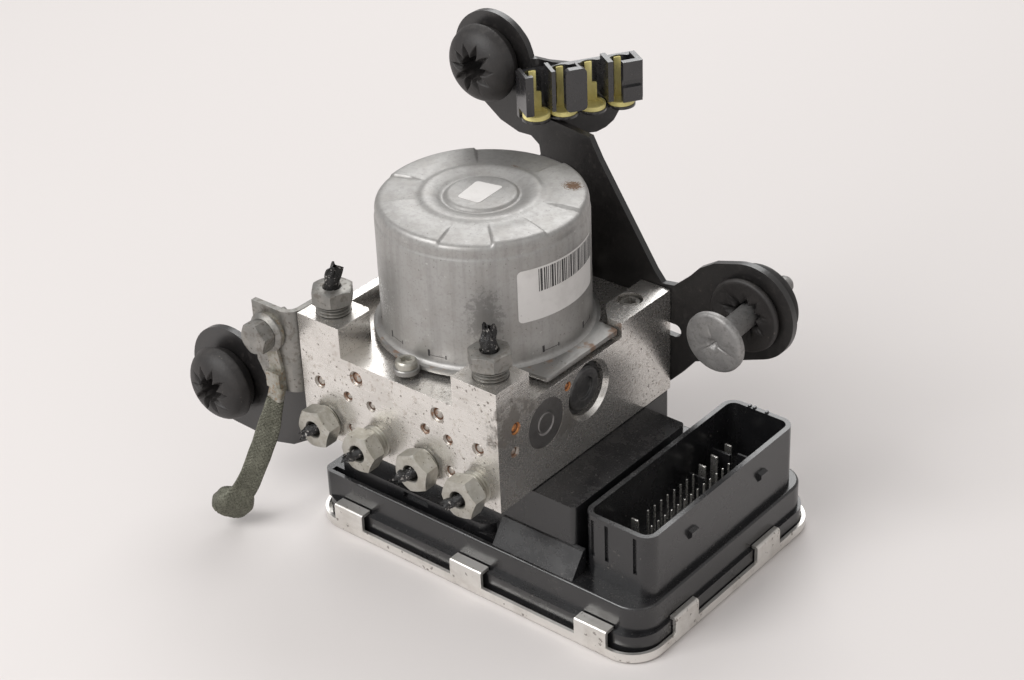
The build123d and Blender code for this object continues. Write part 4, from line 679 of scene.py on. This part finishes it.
def motor_flange():
    """The flange ring with its side ear and screw ears."""
    outline = []
    for k in range(240):
        angle = 2 * pi * k / 240
        x, y = FLANGE_R * cos(angle), FLANGE_R * sin(angle)
        if abs(y) < 20.4 and x > 0 and y < 18:
            x = 42.1 - max(0.0, abs(y + 1.2) - 18.0) * 0.5
        outline.append((x, y))
    rim = slabbed(outline, FLANGE_LOW, FLANGE_TOP, 0.3)
    ears = []
    for a in EAR_ANGLES:
        x, y = EAR_R * cos(radians(a)), EAR_R * sin(radians(a))
        ear = turned([(2.3, 0), (4.4, 0), (4.4, 1.5), (4.1, 1.78), (2.3, 1.78)], 40)
        ears.append(moved(ear, Matrix.Translation((x * MM, y * MM, (FLANGE_LOW + 0.01) * MM))))
    return keep("motor_flange", gather(rim, *ears), flange_steel)


def motor_stake_shade():
    """Thin near-black strips round the can's foot, painted shade standing for the dents of the stake marks
    pressed there.
    """
    shade_strips = []
    for a in STAKE_ANGLES:
        for wide, tall, off, rise in STAKE_SHADE_STRIPS:
            bm = bmesh.new()
            bmesh.ops.create_cube(bm, size=1.0)
            bmesh.ops.scale(bm, vec=(0.3 * MM, wide * MM, tall * MM), verts=bm.verts)
            bmesh.ops.subdivide_edges(bm, edges=bm.edges, cuts=5, use_grid_fill=True)
            for v in bm.verts:
                turn, r = (v.co.y / MM + off) / CAN_R, CAN_R - 0.06 + v.co.x / MM
                v.co = Vector((r * cos(turn), r * sin(turn), STAKE_Z + rise + v.co.z / MM)) * MM
            shade_strips.append(moved(bm, Matrix.Rotation(radians(a), 4, "Z")))
    # The strips carry painted shade in place of the dents, which are not modelled.
    return keep("motor_stake_painted_shade", gather(*shade_strips), ink_and_painted_shade)


def side_label():
    """The bare paper label wrapped on the can, with rounded corners."""
    wide, tall, corner = LABEL
    bm = bmesh.new()
    bmesh.ops.create_grid(bm, x_segments=72, y_segments=40, size=0.5)
    for v in bm.verts:
        x, y = v.co.x * wide, v.co.y * tall
        inner = Vector((max(-wide / 2 + corner, min(wide / 2 - corner, x)),
                        max(-tall / 2 + corner, min(tall / 2 - corner, y))))
        off = Vector((x, y)) - inner
        if off.length > 0:
            off = off.normalized() * max(abs(off.x), abs(off.y))
        x, y = inner.x + off.x, inner.y + off.y
        angle = LABEL_TURN + x / CAN_R
        v.co = Vector((LABEL_R * cos(angle), LABEL_R * sin(angle), LABEL_Z + y)) * MM
    return keep("motor_side_label", bm, paper)


def label_bars():
    """Plain bars of uneven width printed across the side label."""
    bars, x = [], -11.0
    for k in range(34):
        wide = BAR_WIDTHS[(k * 3) % len(BAR_WIDTHS)]
        strip = bmesh.new()
        bmesh.ops.create_grid(strip, x_segments=2, y_segments=2, size=0.5)
        for v in strip.verts:
            angle = LABEL_TURN + (x + (v.co.x + 0.5) * wide) / CAN_R
            v.co = Vector((BAR_R * cos(angle), BAR_R * sin(angle), BAR_Z + v.co.y * BAR_TALL)) * MM
        bars.append(strip)
        x += wide + BAR_GAPS[k % len(BAR_GAPS)]
    return keep("motor_side_label_bars", gather(*bars), ink_and_painted_shade)


TOP_LABEL = ((-4.3, -7.3), (4.4, -6.6), (3.6, 7.0), (-6.2, 5.0))


def top_label():
    """A small bare label on the boss."""
    bm = slabbed(TOP_LABEL, CAN_TOP - 0.36, CAN_TOP - 0.22)
    upright = [e for e in bm.edges if abs(e.verts[0].co.z - e.verts[1].co.z) > 1e-5]
    bmesh.ops.bevel(bm, geom=upright, offset=1.1 * MM, offset_type="OFFSET", segments=5, profile=0.5,
                    affect="EDGES", material=-1)
    return keep("motor_top_label", bm, paper)


# ---------------------------------------------------------------- fittings
PORTS = ((-33.0, -54.5, 12.0), (-11.0, -56.5, 3.0), (11.0, -54.5, 22.0), (33.0, -56.5, 9.0))
PORT_Z = 49.5
BLOCK_FRONT = -47.0
TOWERS = ((-34.0, 8.0), (34.0, 20.0))
TOWER_Y = -38.6
NUT_ACROSS = 13.0
NUT_BORE = 2.9
THREAD_R = 6.0
WHEEL_NUT_DEEP = 6.2


def wheel_nuts():
    """Four chamfered nuts with their exposed thread."""
    nuts = []
    for x, front, turn in PORTS:
        thread = BLOCK_FRONT - front - WHEEL_NUT_DEEP + 1.0
        shape = hex_nut(NUT_ACROSS, WHEEL_NUT_DEEP, NUT_BORE, THREAD_R, thread)
        nuts.append(moved(shape, facing(x, front + WHEEL_NUT_DEEP, PORT_Z, (0, -1, 0), turn)))
    return keep("wheel_nut_set", gather(*nuts), zinc_bright, ["wheel_nuts"])


def master_nuts():
    """The two nuts on the towers."""
    nuts = []
    for x, turn in TOWERS:
        shape = hex_nut(NUT_ACROSS, 5.5, NUT_BORE, THREAD_R, 4.6)
        nuts.append(moved(shape, facing(x, TOWER_Y, 92.3, (0, 0, 1), turn)))
    return keep("master_nut_set", gather(*nuts), zinc_dull, ["master_nuts"])


def torn_end(length, radius, lean, seed):
    """A short pipe end, crumpled and torn at its mouth."""
    rings = 9
    profile = [(radius, length * k / rings) for k in range(rings + 1)]
    profile += [(radius * 0.5, length * 0.98), (radius * 0.45, length * 0.5), (0.0, length * 0.4)]
    bm = turned(profile, 28, closed=False)
    for v in bm.verts:
        t = v.co.z / MM / length
        spot = Vector((v.co.x * 600 + seed, v.co.y * 600, v.co.z * 260))
        squeeze = 1.0 - 0.4 * t * t + 0.8 * t * noise.noise(spot)
        v.co.x *= squeeze
        v.co.y *= squeeze
        v.co.z += 2.6 * MM * t * noise.noise(spot + Vector((7, 3, 1)))
        v.co.x += lean[0] * t * t * MM
        v.co.y += lean[1] * t * t * MM
    return bm


def pipe_ends():
    """The cut pipe ends standing in the nuts."""
    tops = []
    for x, lean, seed in ((-34.0, (1.8, 0.6), 3.0), (34.0, (-0.9, 0.8), 8.0)):
        place = Matrix.Translation((x * MM, TOWER_Y * MM, 97.0 * MM))
        tops.append(moved(torn_end(8.4, 2.8, lean, seed), place))
    keep("master_pipe_stubs", gather(*tops), torn_pipe, ["master_pipe_ends"])
    sides = []
    for k, (x, front, _) in enumerate(PORTS):
        stub = torn_end(6.8, 2.0, (-0.6, 0.4), 11.0 + k)
        sides.append(moved(stub, facing(x, front + 2.6, PORT_Z, (-0.42, -0.85, -0.32))))
    keep("wheel_pipe_stubs", gather(*sides), torn_pipe, ["wheel_pipe_ends"])


BORE = 4.2
TOP_EYE = (-32.4, 46.2, 149.1)
RIGHT_EYE = (74.7, 46.2, 84.6)
LEFT_EYE = (-83.3, -43.5, 46.4)
BOLT_PIVOT_Y = 60.0
BOLT_LEAN = radians(3.4)
GROUND_BOLT = (-53.7, -53.25, 79.5)
UNIT_SCREWS = ((35.7, 32.7, 79.05, 8), (-34.5, 38.5, 73.6, 30))


def dome(nose, rim):
    """A rounded nose from the bore's mouth out to the rim, as (radius, height)."""
    top, low, edge = -nose, -rim, 13.7
    points = []
    for k in range(17):
        share = k / 16
        r = BORE + 0.6 + (edge - BORE - 0.6) * share
        points.append((r, top + (low - top) * (1 - (1 - share ** 2.0) ** 0.62)))
    return [(BORE, top + 0.7), (BORE + 0.2, top + 0.2)] + points


def petals(bm, count, mouth, reach, depth, turn):
    """Presses a star of tapering valleys into the rubber round a bore, deepest at its mouth."""
    for v in bm.verts:
        r, y = hypot(v.co.x, v.co.y) / MM, v.co.z / MM
        if y > mouth or r > reach:
            continue
        angle = atan2(v.co.y, v.co.x) + turn + 0.10 * noise.noise(Vector((v.co.x, v.co.y, 0)) * 150)
        step = 2 * pi / count
        off = abs((angle % step) - step / 2) / (step / 2)
        width = 0.92 * (1 - smooth_step(r, BORE + 0.2, reach)) + 1e-4
        valley = max(0.0, 1 - off / width)
        fade = smooth_step(mouth - y, 0.0, 2.5)
        v.co.z += depth * valley ** 0.8 * (1 - smooth_step(r, BORE, reach)) ** 0.5 * fade * MM
        if r < BORE + 0.5:
            push = 1.0 + 0.22 * valley * fade
            v.co.x *= push
            v.co.y *= push


def rear_disc(back_r, back, tail):
    """The rear disc's outline from the neck round to the bore."""
    return [(10.4, -0.3), (10.4, 2.6), (11.0, 3.0), (back_r - 1.2, back - 1.5), (back_r - 0.3, back - 0.8),
            (back_r, back), (back_r - 0.3, back + 0.8), (back_r - 1.3, back + 1.5), (10.4, tail - 1.3),
            (8.0, tail - 0.4), (BORE + 0.7, tail), (BORE, tail - 0.6)]


def pleated_isolator(name, node, eye):
    """A rubber isolator with a long domed nose pleated round its bore, axis along Y."""
    nose, rim = 12.0, 5.8
    profile = dome(nose, rim)
    profile += [(13.95, -rim + 0.5), (13.9, -rim + 1.1), (13.4, -rim + 1.7), (12.6, -2.6), (11.9, -1.0),
                (10.9, -0.3)]
    profile += rear_disc(12.5, 6.1, 10.5)
    profile += [(BORE, y) for y in (4.0, -2.0, -6.4)]
    bm = turned(profile, 320)
    petals(bm, 10, -6.6, 9.6, 2.4, 0.35)
    return keep(name, moved(bm, facing(*eye, (0, 1, 0))), rubber, [node], sharp=62)


def flat_isolator(name, node, eye):
    """The right isolator with its short dished front, puckered round the bolt."""
    profile = [(BORE, -2.2), (BORE + 0.4, -2.7), (6.0, -3.0), (7.5, -3.15), (9.0, -3.25), (10.4, -3.4),
               (11.6, -3.6), (12.5, -3.7), (13.1, -3.3), (13.3, -2.5), (13.0, -1.7), (12.4, -0.9),
               (10.9, -0.3)]
    profile += rear_disc(14.4, 7.7, 10.5)
    profile += [(BORE, 5.0), (BORE, 0.6)]
    bm = turned(profile, 240)
    petals(bm, 9, 0.4, 8.8, 1.5, 0.2)
    return keep(name, moved(bm, facing(*eye, (0, 1, 0))), rubber, [node], sharp=62)


def mounting_bolt():
    """The shouldered bolt with its round head, leaning slightly in the soft rubber."""
    profile = [(0.0, 1.3), (0.9, 1.35), (1.4, 1.7), (1.75, 2.6), (2.1, 2.9), (2.6, 3.0), (4.4, 3.0),
               (6.8, 3.0), (9.9, 2.9), (10.6, 2.6), (11.0, 2.0), (11.0, 0.7), (10.7, 0.2), (10.0, 0.0)]
    profile += [(5.2, 0.0), (4.6, -0.3), (4.3, -1.2), (4.3, -5.2), (4.05, -5.8), (4.05, -28.6),
                (3.8, -29.2), (3.0, -29.5)]
    for k in range(11):
        profile += [(2.6, -30.0 - k), (3.0, -30.5 - k)]
    profile += [(2.5, -41.2), (0.0, -41.4)]
    bm = turned(profile, 180, closed=False)
    for v in bm.verts:
        r = hypot(v.co.x, v.co.y) / MM
        if v.co.z > 1.2 * MM and 0.5 < r < 6.9:
            scar = max(0.0, cos(3 * atan2(v.co.y, v.co.x) + 0.9)) ** 24
            v.co.z -= 0.4 * scar * (1 - smooth_step(r, 2.6, 6.8)) * MM
    lean = Matrix.Rotation(BOLT_LEAN, 4, "X")
    seat = Matrix.Translation((RIGHT_EYE[0] * MM, BOLT_PIVOT_Y * MM, RIGHT_EYE[2] * MM))
    shape = moved(bm, seat @ lean @ facing(0, -31.8, 0, (0, -1, 0)))
    return keep("mounting_bolt_turned", shape, phosphate, ["mounting_bolt"])


def ground_bolt():
    """The flanged hexagon bolt of the earth connection."""
    head = hex_nut(10.4, 5.4, 0.4)
    collar = [(0.0, -1.9), (7.0, -1.9), (7.2, -1.6), (7.15, -1.1), (5.6, 0.05), (0.0, 0.05)]
    flange = turned(collar, 72, closed=False)
    shank = turned([(0.0, -1.8), (3.0, -1.8), (3.0, -13.0), (2.4, -13.6), (0.0, -13.6)], 40, closed=False)
    dish = turned([(0.0, 4.95), (3.1, 4.95), (3.7, 5.42), (0.4, 5.41), (0.0, 5.2)], 48, closed=False)
    bm = moved(gather(head, flange, shank, dish), facing(*GROUND_BOLT, (0, -1, 0), 14))
    return keep("ground_bolt_head", bm, zinc_dull, ["ground_bolt"])


def socket_screw(x, y, z, r, height, twist):
    """A pan head with a six-lobed recess, looking up."""
    profile = [(0.0, height - 1.7), (r * 0.42, height - 1.6), (r * 0.5, height), (r * 0.8, height - 0.05),
               (r * 0.95, height - 0.5), (r, height - 1.1), (r, 0.0), (0.0, 0.0)]
    return moved(torx_head(profile, r * 0.51), facing(x, y, z, (0, 0, 1), twist))


def screws():
    """Heads of the motor screws and the control unit screws."""
    heads = []
    for a in EAR_ANGLES:
        x, y = EAR_R * cos(radians(a)), EAR_R * sin(radians(a))
        heads.append(socket_screw(x, y, 80.45, 3.7, 2.6, 20))
    keep("motor_screw_heads", gather(*heads), zinc_bright, ["motor_screws"])
    deep = [socket_screw(x, y, z, 4.0, 2.9, twist) for x, y, z, twist in UNIT_SCREWS]
    keep("unit_screw_heads", gather(*deep), zinc_dull, ["ecu_screws"])


# Radius last; the front's balls are at (x, z), the right side's at (y, z).
FRONT_BALLS = (
    (-35.2, 64.0, 2.4),
    (-22.4, 62.9, 2.0),
    (-22.3, 50.0, 2.0),
    (-17.9, 71.6, 2.8),
    (-12.0, 62.9, 2.0),
    (11.9, 63.6, 2.0),
    (17.6, 71.2, 2.8),
    (21.7, 63.1, 2.0),
    (21.7, 50.6, 2.4),
    (34.4, 64.4, 2.4),
)
SIDE_BALLS = ((-37.9, 71.0, 2.3), (-11.0, 73.0, 1.7))
DULL_BALL = (-38.8, 62.5, 2.0)


def ball_seat(r):
    """A pressed ball in its crimped seat, flush with height 0."""
    ball = [(0.0, -0.1), (r * 0.3, -0.18), (r * 0.5, -0.42), (r * 0.6, -0.75), (r * 0.68, -0.95)]
    seat = [(r * 0.74, -0.6), (r * 0.8, -0.2), (r * 0.88, -0.02), (r, 0.0), (r, -1.6), (0.0, -1.6)]
    return turned(ball + seat, 48)


def ball_gap(r):
    """The rusted ring between a ball and its seat."""
    return turned([(r * 0.5, -0.72), (r * 0.76, -0.42), (r * 0.76, -0.95), (r * 0.5, -0.95)], 48)


def ball_plugs():
    """The pressed balls of the front face and the right side."""
    front_face, right_face = -46.6, 42.6
    front, side = [], []
    for k, (x, z, r) in enumerate(FRONT_BALLS):
        front.append((r, facing(x, front_face, z, (0, -1, 0), 30 * k)))
    for y, z, r in SIDE_BALLS + (DULL_BALL,):
        side.append((r, facing(right_face, y, z, (1, 0, 0))))
    keep("ball_plug_set", gather(*[moved(ball_seat(r), at) for r, at in front]), plug_steel, ["ball_plugs"])
    coppery = [moved(ball_seat(r), at) for r, at in side[:-1]]
    keep("side_plug_set", gather(*coppery), copper_plug, ["side_plugs"])
    dull_r, dull = side[-1]
    keep("side_plug_dull", moved(ball_seat(dull_r), dull), plug_steel)
    keep("ball_plug_rings", gather(*[moved(ball_gap(r), at) for r, at in front + side]), rust_ring)


# ---------------------------------------------------------------- earth strap
STRAP = ((-51.9, -52.6, 54.1), (-54.5, -55.1, 41.2), (-57.3, -59.0, 30.1), (-61.0, -62.0, 18.9),
         (-66.9, -62.9, 10.9), (-72.6, -62.9, 5.4))
BRAID_TURN = radians(37)
BUNDLE = 1.5


def strap_line():
    """Evenly read points of the strap's middle line."""
    line = bpy.data.curves.new("strap_line", "CURVE")
    line.dimensions = "3D"
    line.resolution_u = 40
    run = line.splines.new("NURBS")
    run.points.add(len(STRAP) - 1)
    for point, (x, y, z) in zip(run.points, STRAP):
        point.co = (x * MM, y * MM, z * MM, 1.0)
    run.order_u = 3
    run.use_endpoint_u = True
    thread = bpy.data.objects.new("strap_line", line)
    mesh = bpy.data.meshes.new_from_object(thread)
    points = [v.co.copy() for v in mesh.vertices]
    bpy.data.objects.remove(thread)
    bpy.data.curves.remove(line)
    bpy.data.meshes.remove(mesh)
    return points


def weave(along, across):
    """Height of a flat braid's surface from 0 to 1, with bundles crossing over and under in turn."""
    p, q = (along + across) / BUNDLE, (along - across) / BUNDLE
    over = (int(p // 1) + int(q // 1)) % 2 == 0
    ridge = abs(sin(pi * p)) if over else abs(sin(pi * q))
    under = abs(sin(pi * q)) if over else abs(sin(pi * p))
    return max(ridge ** 0.6, 0.55 * under ** 0.6)


def braid_size(share):
    """The braid's half width, half thickness and bow at a share of its length."""
    half = 2.9 + 1.2 * smooth_step(share, 0.0, 0.22) + 0.5 * smooth_step(share, 0.5, 0.9)
    half += 0.25 * noise.noise(Vector((share * 9, 1.3, 0)))
    thick = 0.85 + 0.35 * (1 - smooth_step(share, 0.0, 0.2))
    knob = smooth_step(share, 0.74, 0.86) * (1 - smooth_step(share, 0.955, 1.004)) ** 0.5
    half += 2.2 * knob - 2.6 * smooth_step(share, 0.95, 1.0)
    thick += 3.2 * knob
    bow = 0.5 * sin(share * 11.0) * smooth_step(share, 0.1, 0.3)
    return half, thick, bow


def strap():
    """The flat woven braid, narrow in its crimp and swollen and frayed at its cut end."""
    line = strap_line()
    lengths = [0.0]
    for a, b in zip(line, line[1:]):
        lengths.append(lengths[-1] + (b - a).length)
    total = lengths[-1]
    wide = Vector((cos(BRAID_TURN), sin(BRAID_TURN), 0))
    rows, around = 420, 112
    bm = bmesh.new()
    rings = []
    for step in range(rows + 1):
        at = total * step / rows
        index = min(max(i for i, s in enumerate(lengths) if s <= at + 1e-9), len(line) - 2)
        span = lengths[index + 1] - lengths[index]
        here = line[index].lerp(line[index + 1], (at - lengths[index]) / span)
        ahead = (line[index + 1] - line[index]).normalized()
        across = (wide - ahead * wide.dot(ahead)).normalized()
        out = across.cross(ahead)
        share = step / rows
        half, thick, bow = braid_size(share)
        loose = smooth_step(share, 0.95, 1.0)
        ring = []
        for k in range(around):
            angle = 2 * pi * k / around
            c, n = cos(angle), sin(angle)
            x = half * abs(c) ** 0.75 * (1 if c >= 0 else -1)
            y = thick * abs(n) ** 0.6 * (1 if n >= 0 else -1)
            relief = 0.42 * (weave(at / MM, x + (0.75 if y < 0 else 0.0)) - 0.6)
            fray = loose * 1.6 * noise.noise(Vector((x * 1.7, y * 2.0, 3.1)))
            y += relief * (1 if y >= 0 else -1) + bow * (1 - (x / half) ** 2)
            spot = here + across * x * MM + out * y * MM + ahead * fray * MM
            ring.append(bm.verts.new(spot))
        rings.append(ring)
    for low, high in zip(rings, rings[1:]):
        for k in range(around):
            bm.faces.new((low[k], low[(k + 1) % around], high[(k + 1) % around], high[k]))
    for ring in (rings[0], rings[-1]):
        bmesh.ops.contextual_create(bm, geom=ring)
    piece = keep("ground_strap_braid", bm, braid, ["ground_strap"], sharp=75)
    return piece


# ---------------------------------------------------------------- stage
BENCH_COLOUR = (0.69, 0.658, 0.644, 1.0)
ROOM_COLOUR = (0.86, 0.84, 0.83, 1.0)
ROOM_STRENGTH = 0.55
LAMPS = (
    ("key", (-0.42, -0.95, 1.15), (0, -0.05, 0.05), 0.9, 15.5),
    ("front", (0.3, -1.25, 0.7), (0.02, -0.04, 0.02), 0.8, 2.2),
    ("back", (-0.5, 0.9, 0.9), (0, 0, 0.05), 0.8, 7.0),
    ("fill", (1.1, -0.2, 0.8), (0, 0, 0.05), 0.8, 1.2),
)
CAMERA_AT = (0.4177, -0.4761, 0.4554)
CAMERA_SIDE = radians(40.543)
CAMERA_RISE = radians(31.356)
CAMERA_TILT = -0.0421
LENS = 76.54


def floor():
    """A pale sweep with the object's shadow."""
    bm = bmesh.new()
    bmesh.ops.create_grid(bm, x_segments=1, y_segments=1, size=3.0)
    bmesh.ops.translate(bm, verts=bm.verts, vec=(0, 0, -0.0002))
    mesh = bpy.data.meshes.new("floor")
    bm.to_mesh(mesh)
    bm.free()
    sweep = bpy.data.objects.new("floor", mesh)
    bpy.context.scene.collection.objects.link(sweep)
    paint = bpy.data.materials.new("bench paint")
    paint.use_nodes = True
    shader = paint.node_tree.nodes["Principled BSDF"]
    shader.inputs["Base Color"].default_value = BENCH_COLOUR
    shader.inputs["Roughness"].default_value = 0.7
    mesh.materials.append(paint)


def lamp(name, spot, aim, size, power):
    """A square soft light aimed at a point."""
    data = bpy.data.lights.new(name, "AREA")
    data.shape = "SQUARE"
    data.size = size
    data.energy = power
    lit = bpy.data.objects.new(name, data)
    bpy.context.scene.collection.objects.link(lit)
    lit.location = spot
    lit.rotation_euler = (Vector(spot) - Vector(aim)).to_track_quat("Z", "Y").to_euler()


def lights():
    """A large key from the front left, weaker fills and a pale room."""
    for settings in LAMPS:
        lamp(*settings)
    world = bpy.data.worlds.new("studio")
    bpy.context.scene.world = world
    world.use_nodes = True
    sky = world.node_tree.nodes["Background"]
    sky.inputs[0].default_value = ROOM_COLOUR
    sky.inputs[1].default_value = ROOM_STRENGTH


def camera():
    """The main camera, from the front right and above, slightly rolled."""
    flat = cos(CAMERA_RISE)
    back = Vector((sin(CAMERA_SIDE) * flat, -cos(CAMERA_SIDE) * flat, sin(CAMERA_RISE)))
    right = Vector((cos(CAMERA_SIDE), sin(CAMERA_SIDE), 0))
    up = back.cross(right)
    across = right * cos(CAMERA_TILT) + up * sin(CAMERA_TILT)
    above = -right * sin(CAMERA_TILT) + up * cos(CAMERA_TILT)
    data = bpy.data.cameras.new("camera")
    data.lens = LENS
    data.sensor_width = 36.0
    data.clip_start = 0.01
    eye = bpy.data.objects.new("camera", data)
    bpy.context.scene.collection.objects.link(eye)
    turn = Matrix((across, above, back)).transposed().to_4x4()
    eye.matrix_world = Matrix.Translation(CAMERA_AT) @ turn
    bpy.context.scene.camera = eye


camera()
dress_nodes()
motor_shell()
motor_flange()
motor_stake_shade()
side_label()
label_bars()
top_label()
wheel_nuts()
master_nuts()
pipe_ends()
pleated_isolator("isolator_top", "grommet_top", TOP_EYE)
flat_isolator("isolator_right", "grommet_right", RIGHT_EYE)
pleated_isolator("isolator_left", "grommet_left", LEFT_EYE)
mounting_bolt()
ground_bolt()
screws()
ball_plugs()
strap()
floor()
lights()
bpy.context.scene.view_settings.view_transform = "Standard"
